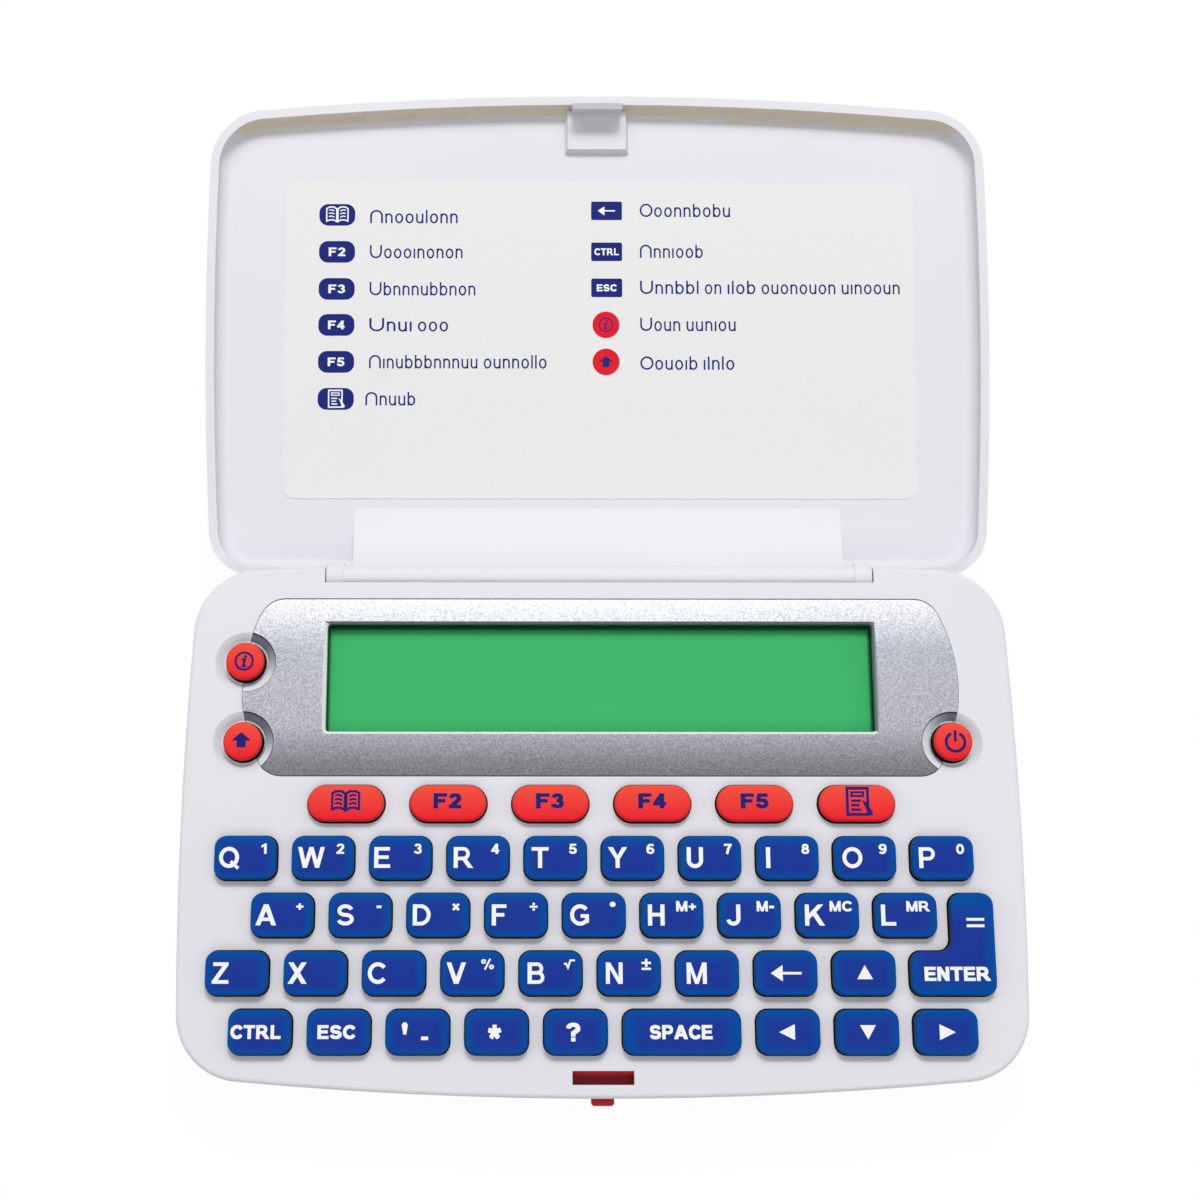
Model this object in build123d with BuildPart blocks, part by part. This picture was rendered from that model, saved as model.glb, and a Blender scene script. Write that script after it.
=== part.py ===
from build123d import *
from math import cos, radians, sin, tan
import os

# Pocket electronic dictionary with a hinged lid, in millimetres.
# +X is to the right, +Y to the rear and +Z up. The origin is the middle of the flat underside.
# The lid is modelled open, leaning on its stop.

# ---- keyboard ------------------------------------------------------------------------------
key_pitch = 12.75           # between the centres of two keys in a row
row_pitch = 9.3             # between two rows of blue keys
key_width = 10.2
key_depth = 7.1
key_corner = 1.9            # corner radius of a key in plan
key_edge = 0.35             # chamfer round a key's top
key_proud = 2.0             # a blue key's top above the case
key_gap = 0.2               # between a key and the edge of its opening
key_travel = 1.0            # how far a key goes down
flange_thickness = 1.0      # the rim that keeps a key under the case
flange_lap = 0.5            # how far that rim reaches under the opening's edge
flange_gap = 0.1            # between the rim and the case above it, and the dome below it

row_names = [               # keys of each row from the top one down, without the enter key
    [*"qwertyuiop"],
    [*"asdfghjkl"],
    [*"zxcvbnm", "backspace", "up"],
    ["ctrl", "esc", "quote", "star", "question", "space", "left", "down", "right"],
]
row_middles = [-1.325, -1.4, -8.5, -0.05]   # middle of each row, from the middle of the case
space_width = 19.1
enter_neck = 7.1            # width of the enter key's upper part
enter_neck_gap = 2.15       # from the L key to that part
enter_foot_gap = 2.45       # from the up key to the enter key's lower part

function_pitch = 16.95      # between two red oval keys
function_width = 12.74
function_depth = 6.1
function_rise = 8.98        # from the top blue row to the oval keys
function_proud = 1.8
round_diameter = 6.5        # the three round red keys
round_left_x = 59.9         # from the centre line to the two round keys on the left
round_right_x = 58.9        # and to the one on the right
round_proud = 1.4
round_low_rise = 10.35      # from the oval keys to the lower round keys
round_high_rise = 23.9      # from the oval keys to the upper round key
dish_diameter = 10.3        # shallow dish round each round key
dish_floor_diameter = 7.5
dish_depth = 0.9

# ---- case ----------------------------------------------------------------------------------
side_margin = 5.35          # from the widest row of keys to the widest part of the case
front_margin = 10.47        # from the front edge to the middle of the front row
bezel_rise = 4.75           # from the oval keys to the front edge of the bezel
rear_margin = 6.25          # from the bezel to the rear edge
front_radius = 668.0        # bow of each side of the outline
rear_radius = 1905.0
side_radius = 720.0
side_apex = -5.0            # the sides bulge most a little in front of the middle
front_corner = 11.0         # corner radii of the outline
rear_corner = 11.4
top_edge = 0.8              # rounding of the upper edge
bottom_edge = 2.5           # rounding of the lower edge
wall = 1.8
floor = 1.8
top_plate = 1.6
parting_height = 9.0        # where the two housings meet
parting_tongue = 1.0        # height of the tongue in the joint between the housings
parting_groove = 0.3        # width and depth of the shadow gap round that joint
fit = 0.1                   # clearance between plastic pieces that slip together

# ---- display -------------------------------------------------------------------------------
bezel_depth = 30.05
bezel_width = 120.6         # at the widest point of its bowed ends
bezel_end_width = 112.0     # between the corners, before they are rounded
bezel_corner = 4.5
bezel_thickness = 1.4       # along its front and rear edges
bezel_crown = 0.5           # rise of its middle above those edges
bezel_seat = 0.9            # width of the case wall round the bezel's pocket
view_width = 92.5           # opening of the bezel
view_depth = 18.5
view_corner = 0.6
view_rise = 1.6             # centre of the opening behind the centre of the bezel
view_bevel = 0.1            # the opening widens upwards from this far below the bezel's edges
view_bevel_angle = 45.0     # degrees
window_lap = 1.2            # how far the window reaches under the bezel
window_thickness = 0.9
pocket_floor = 1.4
lcd_width = 100.0
lcd_depth = 26.0
lcd_thickness = 1.6
lcd_gap = 0.2
lcd_frame = 0.8             # rib that locates the panel
lcd_frame_height = 1.2
strip_width = 76.0          # connector strip from the panel to the board
strip_depth = 6.0
strip_lap = 2.0             # how far the strip lies under the panel

# ---- cells, bay and door -------------------------------------------------------------------
cell_diameter = 10.5
cell_length = 44.5
cell_clearance = 0.25
nub_diameter = 3.8
nub_height = 0.9
contact_room = 3.2          # at each end of the cells
contact_thickness = 0.4
contact_width = 6.0
bay_y = 23.0
bay_wall = 1.2
bay_roof = 0.9
door_thickness = 1.5
door_lap = 1.6              # how far the door reaches over the edge of the bay
door_gap = 0.15
door_frame = 1.2            # thickness of the ledge that the door lies on
door_tab_width = 5.0
door_tab_x = 15.0
door_tab_thickness = 0.9
door_tab_reach = 1.1
door_ear_width = 9.0        # ear with the door's screw
door_ear_length = 5.4
door_ear_thickness = 2.6

# ---- board, mat and screws -----------------------------------------------------------------
board_thickness = 1.2
board_gap = 1.2             # between the board and the case wall
board_front_gap = 4.4       # from the case wall at the front to the board
mat_thickness = 0.5
mat_inset = 0.5
dome_height = 1.5
dome_foot = 5.0
dome_taper = 22.0           # degrees
post_diameter = 3.0
post_x = 46.0               # from the centre line to the outer posts under the board
chip_x = 20.0               # from the centre line to each of the two chips
chip_diameter = 14.0
chip_height = 1.6
screw_diameter = 1.9
screw_head_diameter = 3.8
screw_head_height = 1.5
screw_length = 10.0         # under the head
screw_recess = 2.0          # from the underside to a head
front_screw_side = 6.35     # from the case's side to the front pair of screws
front_screw_inset = 10.0    # and from its front edge
middle_screw_side = 10.3    # from the side to the middle pair
middle_screw_rise = 0.35    # and from the oval keys' middle to it
rear_screw_side = 8.6       # from the side to the rear pair
rear_screw_inset = 7.4      # and from the rear edge
door_screw_length = 4.5
boss_diameter = 4.4
pilot_clearance = 0.05      # radial clearance round a screw

# ---- lid and hinge -------------------------------------------------------------------------
open_angle = 171.5          # from closed to the stop
lid_inset = 1.05            # lid's edge inside the case's edge
lid_rear_corner = 9.0       # rear corners of the lid, before that inset
lid_seat = 0.1              # between the closed lid's rim and the case
lid_depth = 3.6             # depth inside the rim
lid_skin = 2.2              # thickness in the middle
lid_crown_radius = 2500.0   # outside of the lid
lid_wall = 1.5
lid_edge = 2.2              # rounding of the outer edge
lid_cove = 2.1              # rounding between rim and panel on the inside
hinge_inset = 1.6           # from the rear edge of the case to the hinge axis
hinge_drop = 3.0            # from the top of the case to the hinge axis
barrel_radius = 2.0
knuckle_radius = 2.3
knuckle_length = 2.9
trough_clearance = 0.3
pin_radius = 0.9
pin_length = 2.4
pin_clearance = 0.05
barrel_gap = 0.15           # between the barrel's ends and the ears
notch_width = 93.8          # notch in the rear edge of the case
notch_depth = 3.27
ear_length = 4.6
ramp_width = 85.5           # thick part of the lid in front of the barrel
ramp_length = 12.5
stop_gap = 0.1              # between the open lid's back and the case's rear wall

# ---- latch ---------------------------------------------------------------------------------
slot_width = 10.0
slot_depth = 2.2
slot_inset = 3.27           # from the front edge to the middle of the slot
hook_width = 8.8
hook_thickness = 1.0
hook_barb = 0.8
hook_reach = 3.5            # below the lid's rim
barb_height = 0.9
pad_width = 11.4            # raised pad behind the hook
pad_depth = 8.0
pad_height = 1.5
pad_taper = 20.0            # degrees
latch_width = 13.0
latch_travel = 0.85
latch_engagement = 0.57     # catch lip over the barb
latch_wall = 0.7
lip_thickness = 0.7
latch_floor = 0.9
nose_width = 3.75
nose_height = 2.7
nose_proud = 1.3
nose_round = 0.6
spring_radius = 1.2
spring_wire = 0.3
spring_turns = 5
spring_length = 6.0
spring_seat_width = 5.0

# ---- worked out from the above -------------------------------------------------------------
rows = len(row_names)
space_extra = space_width - key_width
row_lengths = [                                 # between the centres of a row's outer keys
    (len(names) - 1) * key_pitch + names.count("space") * space_extra for names in row_names
]
row_starts = [middle - length / 2 for middle, length in zip(row_middles, row_lengths)]
row_ends = [start + length for start, length in zip(row_starts, row_lengths)]
enter_right = row_ends[1] + key_width / 2 + enter_neck_gap + enter_neck
enter_foot = enter_right - row_ends[2] - key_width / 2 - enter_foot_gap
half_width = -min(row_starts) + key_width / 2 + side_margin
keyboard_depth = row_pitch * (rows - 1)
base_depth = front_margin + keyboard_depth + function_rise + bezel_rise + bezel_depth + rear_margin
front_y = -base_depth / 2
rear_y = base_depth / 2
row_y = [front_y + front_margin + row_pitch * (rows - 1 - row) for row in range(rows)]
function_y = row_y[0] + function_rise
bezel_y = function_y + bezel_rise + bezel_depth / 2
view_y = bezel_y + view_rise

cell_stack = cell_diameter + 2 * cell_clearance
roof_bottom = door_thickness + cell_stack
roof_top = roof_bottom + bay_roof
lcd_bottom = roof_top + lcd_gap
lcd_top = lcd_bottom + lcd_thickness
pocket_height = lcd_top + pocket_floor
base_height = pocket_height + bezel_thickness
plate_bottom = base_height - top_plate
flange_top = plate_bottom - flange_gap
flange_bottom = flange_top - flange_thickness
dome_top = flange_bottom - flange_gap
mat_bottom = dome_top - dome_height - mat_thickness
board_bottom = mat_bottom - board_thickness

hinge_y = rear_y - hinge_inset
hinge_z = base_height - hinge_drop
swing = radians(open_angle)
lean = radians(180 - open_angle)
lid_rim = hinge_drop + lid_seat                 # heights of the closed lid above the hinge axis
lid_panel = lid_rim + lid_depth
lid_top = lid_panel + lid_skin
lid_rear = hinge_inset - lid_inset              # rear edge of the closed lid behind the axis
trough_radius = knuckle_radius + trough_clearance

slot_y = front_y + slot_inset
hook_front = slot_y - slot_depth / 2 + 2 * fit
barb_rear = hook_front + hook_thickness + hook_barb
lip_front = barb_rear - latch_engagement
latch_back_front = barb_rear + fit
latch_back_rear = latch_back_front + latch_wall
lip_top = plate_bottom - fit
lip_bottom = lip_top - lip_thickness
nose_top = base_height - hook_reach - 4 * fit
latch_bottom = nose_top - nose_height
spring_z = latch_bottom - spring_radius - spring_wire
board_front = front_y + wall + board_front_gap

bay_length = cell_length + 2 * contact_room
bay_width = 2 * cell_diameter + 3 * cell_clearance
door_length = bay_length + 2 * door_lap
door_width = bay_width + 2 * door_lap
door_screw_y = bay_y + door_width / 2 + door_ear_length / 2

# Where the six case screws stand: in the front corners, beside the keyboard and by the hinge.
screw_spots = []
for side in (-1, 1):
    screw_spots.append((side * (half_width - front_screw_side), front_y + front_screw_inset))
    screw_spots.append((side * (half_width - middle_screw_side), function_y + middle_screw_rise))
    screw_spots.append((side * (half_width - rear_screw_side), rear_y - rear_screw_inset))

# ---- keys ----------------------------------------------------------------------------------
# Every key: node name, kind, x and y of its centre.
keys = []
for row, names in enumerate(row_names):
    x = row_starts[row]
    for name in names:
        kind = "space" if name == "space" else "letter"
        extra = space_extra / 2 if name == "space" else 0
        keys.append((f"key_{name}", kind, x + extra, row_y[row]))
        x += key_pitch + 2 * extra
keys.append(("key_enter", "enter", enter_right, (row_y[1] + row_y[2]) / 2))
functions = ["book", "f2", "f3", "f4", "f5", "page"]
for column, name in enumerate(functions):
    x = (column - (len(functions) - 1) / 2) * function_pitch
    keys.append((f"key_{name}", "function", x, function_y))
keys.append(("key_info", "round", -round_left_x, function_y + round_high_rise))
keys.append(("key_shift", "round", -round_left_x, function_y + round_low_rise))
keys.append(("key_power", "round", round_right_x, function_y + round_low_rise))
round_keys = [key for key in keys if key[1] == "round"]


def key_outline(kind, grow=0.0):
    """Plan of a key about its own centre, moved outwards by grow."""
    with BuildSketch() as outline:
        if kind == "letter":
            RectangleRounded(key_width + 2 * grow, key_depth + 2 * grow, key_corner + grow)
        elif kind == "space":
            RectangleRounded(space_width + 2 * grow, key_depth + 2 * grow, key_corner + grow)
        elif kind == "function":
            SlotOverall(function_width + 2 * grow, function_depth + 2 * grow)
        elif kind == "round":
            Circle(round_diameter / 2 + grow)
        else:
            with Locations((-enter_neck / 2, 0)):
                Rectangle(enter_neck, row_pitch + key_depth)
            with Locations((-enter_foot / 2, -row_pitch / 2)):
                Rectangle(enter_foot, key_depth)
            fillet(outline.vertices(), key_corner)
            if grow:
                offset(amount=grow)
    return outline.sketch


def key_field(kinds, grow):
    """Plans of all keys of these kinds, in place."""
    with BuildSketch() as field:
        for name, kind, x, y in keys:
            if kind in kinds:
                with Locations((x, y)):
                    add(key_outline(kind, grow))
    return field.sketch


def case_outline(inset=0.0, rear_round=rear_corner):
    """Barrel-shaped plan of the case: four shallow arcs with rounded corners."""
    with BuildSketch() as outline:
        with Locations((0, front_y + front_radius)):
            Circle(front_radius - inset)
        with Locations((0, rear_y - rear_radius)):
            Circle(rear_radius - inset, mode=Mode.INTERSECT)
        for side in (-1, 1):
            with Locations((side * (half_width - side_radius), side_apex)):
                Circle(side_radius - inset, mode=Mode.INTERSECT)
        fillet(outline.vertices().sort_by(Axis.Y)[:2], front_corner - inset)
        fillet(outline.vertices().sort_by(Axis.Y)[-2:], rear_round - inset)
    return outline.sketch


def bezel_outline(grow=0.0):
    """Plan of the bezel: straight front and rear, bowed ends."""
    end_x = bezel_end_width / 2
    tip_x = bezel_width / 2
    low = bezel_y - bezel_depth / 2
    high = bezel_y + bezel_depth / 2
    with BuildSketch() as outline:
        with BuildLine():
            Line((-end_x, low), (end_x, low))
            ThreePointArc((end_x, low), (tip_x, bezel_y), (end_x, high))
            Line((end_x, high), (-end_x, high))
            ThreePointArc((-end_x, high), (-tip_x, bezel_y), (-end_x, low))
        make_face()
        fillet(outline.vertices(), bezel_corner)
        if grow:
            offset(amount=grow)
    return outline.sketch


def board_outline(inset, notch_half, notch_front):
    """U-shaped plan of the board or the mat: inside the case, round the bosses and the notch."""
    board_rear = bezel_y + bezel_depth / 3
    with BuildSketch() as outline:
        add(case_outline(wall + board_gap + inset))
        with Locations((0, (board_front + inset + board_rear) / 2)):
            Rectangle(2 * half_width, board_rear - board_front - inset, mode=Mode.INTERSECT)
        with Locations((0, (notch_front + base_depth) / 2)):
            Rectangle(2 * notch_half, base_depth - notch_front, mode=Mode.SUBTRACT)
        with Locations(screw_spots):
            Circle(boss_diameter / 2 + 3 * fit + inset, mode=Mode.SUBTRACT)
    return outline.sketch


# ---- hinge geometry ------------------------------------------------------------------------
# hinge_side: section across the hinge, x to the rear and y up, from the hinge axis.
# lid_frame and lid_side: the same place turned with the lid, so that the lid is drawn as if closed.
hinge_side = Plane(origin=(0, hinge_y, hinge_z), x_dir=(0, 1, 0), z_dir=(1, 0, 0))
lid_frame = Plane(origin=(0, hinge_y, hinge_z), x_dir=(1, 0, 0), z_dir=(0, sin(swing), cos(swing)))
lid_side = Plane(origin=(0, hinge_y, hinge_z), x_dir=lid_frame.y_dir, z_dir=(1, 0, 0))
barrel_half = notch_width / 2 - barrel_gap


def rear_wedge(depth):
    """What is cut behind the leaning rear wall, below the top plate, depth inside the stop face.

    The open lid's back leans against this wall, so it has the lid's own slope.
    """
    stop = lid_rear + stop_gap
    low = -hinge_z - wall
    high = plate_bottom - hinge_z
    foot_y = stop * cos(swing) - stop * sin(swing) * tan(lean) - depth / cos(lean)
    with BuildPart() as wedge:
        with BuildSketch(hinge_side):
            with BuildLine():
                Polyline(
                    (foot_y - low * tan(lean), low),
                    (base_depth, low),
                    (base_depth, high),
                    (foot_y - high * tan(lean), high),
                    close=True,
                )
            make_face()
        extrude(amount=half_width * 1.1, both=True)
    return wedge.part


# The part of the shadow gap that crosses the leaning rear wall.
groove_bottom = parting_height - parting_groove / 2
with BuildPart() as rear_groove:
    add(rear_wedge(parting_groove))
    split(bisect_by=Plane.XY.offset(groove_bottom), keep=Keep.TOP)
    split(bisect_by=Plane.XY.offset(groove_bottom + parting_groove), keep=Keep.BOTTOM)

# The outer form of both housings together.
with BuildPart() as case_envelope:
    with BuildSketch():
        add(case_outline())
    extrude(amount=base_height)
    fillet(case_envelope.faces().sort_by(Axis.Z)[-1].edges(), top_edge)
    fillet(case_envelope.faces().sort_by(Axis.Z)[0].edges(), bottom_edge)
    with BuildSketch(Plane.XY.offset(groove_bottom)):
        add(case_outline(-parting_groove))
        add(case_outline(parting_groove), mode=Mode.SUBTRACT)
    extrude(amount=parting_groove, mode=Mode.SUBTRACT)
    add(rear_groove.part, mode=Mode.SUBTRACT)
    add(rear_wedge(0), mode=Mode.SUBTRACT)

# The space inside the housings.
with BuildPart() as case_core:
    with BuildSketch(Plane.XY.offset(floor)):
        add(case_outline(wall))
    extrude(amount=plate_bottom - floor)
    add(rear_wedge(wall), mode=Mode.SUBTRACT)

# The tongue in the joint between the housings, round the front and the sides.
with BuildPart() as parting_ring:
    with BuildSketch(Plane.XY.offset(parting_height - parting_tongue)):
        add(case_outline(wall / 2 + fit / 2))
        add(case_outline(wall), mode=Mode.SUBTRACT)
        with Locations((0, -rear_corner)):
            Rectangle(2 * half_width, base_depth, mode=Mode.INTERSECT)
    extrude(amount=parting_tongue)

os.makedirs("parts", exist_ok=True)

# Top housing: keyboard plate, bezel pocket, hinge ears, latch slot and screw bosses.
with BuildPart() as top_housing:
    add(case_envelope.part)
    split(bisect_by=Plane.XY.offset(parting_height), keep=Keep.TOP)
    add(case_core.part, mode=Mode.SUBTRACT)
    add(parting_ring.part)
    # pad that holds the bezel, and the rib that locates the panel
    with BuildSketch(Plane.XY.offset(lcd_top)):
        add(bezel_outline(fit + bezel_seat))
    extrude(amount=plate_bottom - lcd_top)
    with BuildSketch(Plane.XY.offset(lcd_top - lcd_frame_height)):
        with Locations((0, view_y)):
            Rectangle(lcd_width + 2 * (fit + lcd_frame), lcd_depth + 2 * (fit + lcd_frame))
            Rectangle(lcd_width + 2 * fit, lcd_depth + 2 * fit, mode=Mode.SUBTRACT)
    extrude(amount=lcd_frame_height)
    # block behind the bezel that carries the hinge
    with BuildSketch(hinge_side):
        with Locations((-trough_radius - bay_wall, plate_bottom - hinge_z)):
            Rectangle(
                trough_radius + bay_wall,
                plate_bottom - hinge_z + trough_radius + bay_wall,
                align=(Align.MIN, Align.MAX),
            )
    extrude(amount=notch_width / 2 + ear_length, both=True)
    add(rear_wedge(0), mode=Mode.SUBTRACT)
    # ears round the hinge pins, under the overhanging rear edge
    with BuildSketch(hinge_side):
        Circle(hinge_inset)
        with Locations((-trough_radius, -hinge_inset)):
            Rectangle(
                trough_radius,
                plate_bottom - hinge_z + hinge_inset,
                align=(Align.MIN, Align.MIN),
            )
        with Locations((0, 0)):
            Rectangle(hinge_inset, plate_bottom - hinge_z, align=(Align.MIN, Align.MIN))
    extrude(amount=notch_width / 2 + ear_length, both=True)
    # notch and trough for the lid's barrel, and the holes for its pins
    with BuildSketch(hinge_side):
        with Locations((hinge_inset - notch_depth, 0)):
            Rectangle(base_depth, hinge_drop + lid_seat, align=(Align.MIN, Align.MIN))
        Circle(trough_radius)
        with Locations((0, -trough_radius)):
            Rectangle(base_depth, trough_radius, align=(Align.MIN, Align.MIN))
    extrude(amount=notch_width / 2, both=True, mode=Mode.SUBTRACT)
    with BuildSketch(hinge_side):
        Circle(pin_radius + pin_clearance)
    extrude(amount=barrel_half + barrel_gap + pin_length + fit, both=True, mode=Mode.SUBTRACT)
    # bosses for the case screws, and the rails of the latch
    with BuildSketch(Plane.XY.offset(parting_height)):
        with Locations(screw_spots):
            Circle(boss_diameter / 2)
    extrude(amount=plate_bottom - parting_height)
    with BuildSketch(Plane.XY.offset(parting_height)):
        with Locations(screw_spots):
            Circle(screw_diameter / 2 + pilot_clearance)
    extrude(amount=plate_bottom - parting_height - fit, mode=Mode.SUBTRACT)
    rail_front = front_y + wall
    rail_length = latch_back_rear + latch_travel - fit - rail_front
    for side in (Align.MIN, Align.MAX):
        outwards = 1 if side == Align.MIN else -1
        with BuildSketch(Plane.XY.offset(latch_bottom - fit)):
            with Locations((outwards * (latch_width / 2 + fit), rail_front)):
                Rectangle(bay_wall, rail_length, align=(side, Align.MIN))
        extrude(amount=plate_bottom - latch_bottom + fit)
        with BuildSketch(Plane.XY.offset(latch_bottom - fit)):
            with Locations((outwards * (latch_width / 2 - latch_wall), rail_front)):
                Rectangle(bay_wall + latch_wall + fit, rail_length, align=(side, Align.MIN))
        extrude(amount=-latch_wall)
    # openings for the keys, with room for the flanges of the round ones under the bezel
    with BuildSketch(Plane.XY.offset(lcd_top)):
        add(key_field(["round"], key_gap + flange_lap + 3 * fit))
    extrude(amount=plate_bottom - lcd_top, mode=Mode.SUBTRACT)
    with BuildSketch(Plane.XY.offset(plate_bottom)):
        add(key_field(["letter", "space", "enter", "function", "round"], key_gap))
    extrude(amount=top_plate, mode=Mode.SUBTRACT)
    with BuildSketch(Plane.XY.offset(plate_bottom)):
        add(key_field(["round"], key_gap + flange_lap + 3 * fit))
        add(bezel_outline(fit), mode=Mode.INTERSECT)
    extrude(amount=pocket_height - plate_bottom, mode=Mode.SUBTRACT)
    # dishes, bezel pocket, display opening and latch slot
    for name, kind, x, y in round_keys:
        with Locations((x, y, base_height - dish_depth / 2)):
            Cone(dish_floor_diameter / 2, dish_diameter / 2, dish_depth, mode=Mode.SUBTRACT)
    with BuildSketch(Plane.XY.offset(pocket_height)):
        add(bezel_outline(fit))
    extrude(amount=bezel_thickness, mode=Mode.SUBTRACT)
    with BuildSketch(Plane.XY.offset(lcd_top)):
        with Locations((0, view_y)):
            Rectangle(view_width + 2 * (window_lap + fit), view_depth + 2 * (window_lap + fit))
    extrude(amount=pocket_floor, mode=Mode.SUBTRACT)
    with BuildSketch(Plane.XY.offset(plate_bottom)):
        with Locations((0, slot_y)):
            Rectangle(slot_width, slot_depth)
    extrude(amount=top_plate, mode=Mode.SUBTRACT)
    with BuildSketch(Plane.XZ.offset(-front_y - 2 * wall)):
        with Locations((0, (nose_top + latch_bottom) / 2)):
            Rectangle(nose_width + 2 * fit, nose_height + 2 * fit)
    extrude(amount=4 * wall, mode=Mode.SUBTRACT)

# Bottom housing: floor, battery bay, screw columns and posts under the board.
board_posts = [(x, y) for x in (-post_x, 0, post_x) for y in (row_y[2], function_y)]
column_diameter = screw_head_diameter + 2 * bay_wall
with BuildPart() as bottom_housing:
    add(case_envelope.part)
    split(bisect_by=Plane.XY.offset(parting_height), keep=Keep.BOTTOM)
    add(case_core.part, mode=Mode.SUBTRACT)
    # screw columns, board posts and the seat of the latch spring
    with BuildSketch(Plane.XY.offset(floor / 2)):
        with Locations(screw_spots):
            Circle(column_diameter / 2)
    extrude(amount=parting_height - floor / 2)
    with BuildSketch(Plane.XY.offset(floor)):
        with Locations(board_posts):
            Circle(post_diameter / 2)
    extrude(amount=board_bottom - floor)
    with BuildSketch(Plane.XY.offset(floor)):
        with Locations((0, latch_back_rear + spring_length)):
            Rectangle(spring_seat_width, bay_wall, align=(Align.CENTER, Align.MIN))
    extrude(amount=board_bottom - fit - floor)
    with BuildSketch(Plane.XY.offset(parting_height - parting_tongue - fit)):
        add(case_outline(wall / 2))
        add(case_outline(wall + fit), mode=Mode.SUBTRACT)
        with Locations((0, fit - rear_corner)):
            Rectangle(2 * half_width, base_depth, mode=Mode.INTERSECT)
    extrude(amount=parting_tongue + fit, mode=Mode.SUBTRACT)
    for x, y in screw_spots:
        with Locations((x, y, 0)):
            Cylinder(
                screw_diameter / 2 + fit,
                parting_height,
                align=(Align.CENTER, Align.CENTER, Align.MIN),
                mode=Mode.SUBTRACT,
            )
            Cylinder(
                screw_head_diameter / 2 + fit,
                screw_recess + screw_head_height,
                align=(Align.CENTER, Align.CENTER, Align.MIN),
                mode=Mode.SUBTRACT,
            )
    # battery bay, the ledge round its door and the boss of the door's screw
    with BuildSketch(Plane.XY.offset(floor / 2)):
        with Locations((0, bay_y)):
            Rectangle(door_length + 2 * door_lap, door_width + 2 * door_lap)
    extrude(amount=door_thickness + door_frame - floor / 2)
    with BuildSketch(Plane.XY.offset(floor / 2)):
        with Locations((0, bay_y)):
            Rectangle(bay_length + 2 * bay_wall, bay_width + 2 * bay_wall)
    extrude(amount=roof_top - floor / 2)
    with BuildSketch(Plane.XY.offset(floor / 2)):
        with Locations((0, door_screw_y)):
            Rectangle(door_ear_width + 2 * bay_wall, door_ear_length + 2 * bay_wall)
    extrude(amount=door_ear_thickness + door_frame - floor / 2)
    with BuildSketch(Plane.XY.offset(floor / 2)):
        with Locations((0, door_screw_y)):
            Circle(boss_diameter / 2)
    extrude(amount=door_ear_thickness + door_screw_length)
    with BuildSketch():
        with Locations((0, bay_y)):
            Rectangle(bay_length, bay_width)
    extrude(amount=roof_bottom, mode=Mode.SUBTRACT)
    with BuildSketch():
        with Locations((0, bay_y)):
            Rectangle(door_length, door_width)
    extrude(amount=door_thickness, mode=Mode.SUBTRACT)
    with BuildSketch():
        with Locations((0, door_screw_y)):
            Rectangle(door_ear_width, door_ear_length)
    extrude(amount=door_ear_thickness + fit, mode=Mode.SUBTRACT)
    with BuildSketch():
        with Locations((0, door_screw_y)):
            Circle(screw_diameter / 2 + pilot_clearance)
    extrude(amount=door_ear_thickness + door_screw_length, mode=Mode.SUBTRACT)
    # windows for the door's tabs and notches for the contacts
    with BuildSketch(Plane.XY.offset(door_thickness + door_frame)):
        with Locations(
            (-door_tab_x, bay_y - bay_width / 2), (door_tab_x, bay_y - bay_width / 2)
        ):
            Rectangle(door_tab_width + 2 * door_gap, 4 * bay_wall)
    extrude(amount=door_tab_thickness + 3 * fit, mode=Mode.SUBTRACT)
    cell_y = [bay_y - (cell_diameter + cell_clearance) / 2, bay_y + (cell_diameter + cell_clearance) / 2]
    with BuildSketch(Plane.XY.offset(roof_bottom - fit)):
        with Locations([(x, y) for x in (-bay_length / 2, bay_length / 2) for y in cell_y]):
            Rectangle(2 * bay_wall + 2 * fit, contact_width + 2 * fit)
    extrude(amount=bay_roof + 2 * fit, mode=Mode.SUBTRACT)

# Bezel: thin crowned plate with a bevelled opening and a third of a dish at each round key.
crown_radius = ((bezel_depth / 2) ** 2 + bezel_crown**2) / (2 * bezel_crown)
crown_axis = Plane((0, bezel_y, base_height + bezel_crown - crown_radius), z_dir=(1, 0, 0))
with BuildPart() as display_bezel:
    with BuildSketch(Plane.XY.offset(pocket_height)):
        add(bezel_outline())
        with Locations((0, view_y)):
            RectangleRounded(view_width, view_depth, view_corner, mode=Mode.SUBTRACT)
        add(key_field(["round"], key_gap), mode=Mode.SUBTRACT)
    extrude(amount=bezel_thickness + bezel_crown)
    with Locations(crown_axis):
        Cylinder(crown_radius, 2 * half_width, mode=Mode.INTERSECT)
    with BuildSketch(Plane.XY.offset(base_height - view_bevel)):
        with Locations((0, view_y)):
            RectangleRounded(view_width, view_depth, view_corner)
    extrude(amount=view_bevel + bezel_crown, taper=-view_bevel_angle, mode=Mode.SUBTRACT)
    for name, kind, x, y in round_keys:
        with Locations((x, y, base_height - dish_depth / 2)):
            Cone(dish_floor_diameter / 2, dish_diameter / 2, dish_depth, mode=Mode.SUBTRACT)
        with Locations((x, y, base_height + bezel_crown / 2)):
            Cylinder(dish_diameter / 2, bezel_crown, mode=Mode.SUBTRACT)

# Window: clear plate glued under the bezel's opening.
with BuildPart() as display_window:
    with BuildSketch(Plane.XY.offset(pocket_height)):
        with Locations((0, view_y)):
            Rectangle(view_width + 2 * window_lap, view_depth + 2 * window_lap)
    extrude(amount=-window_thickness)

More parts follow.
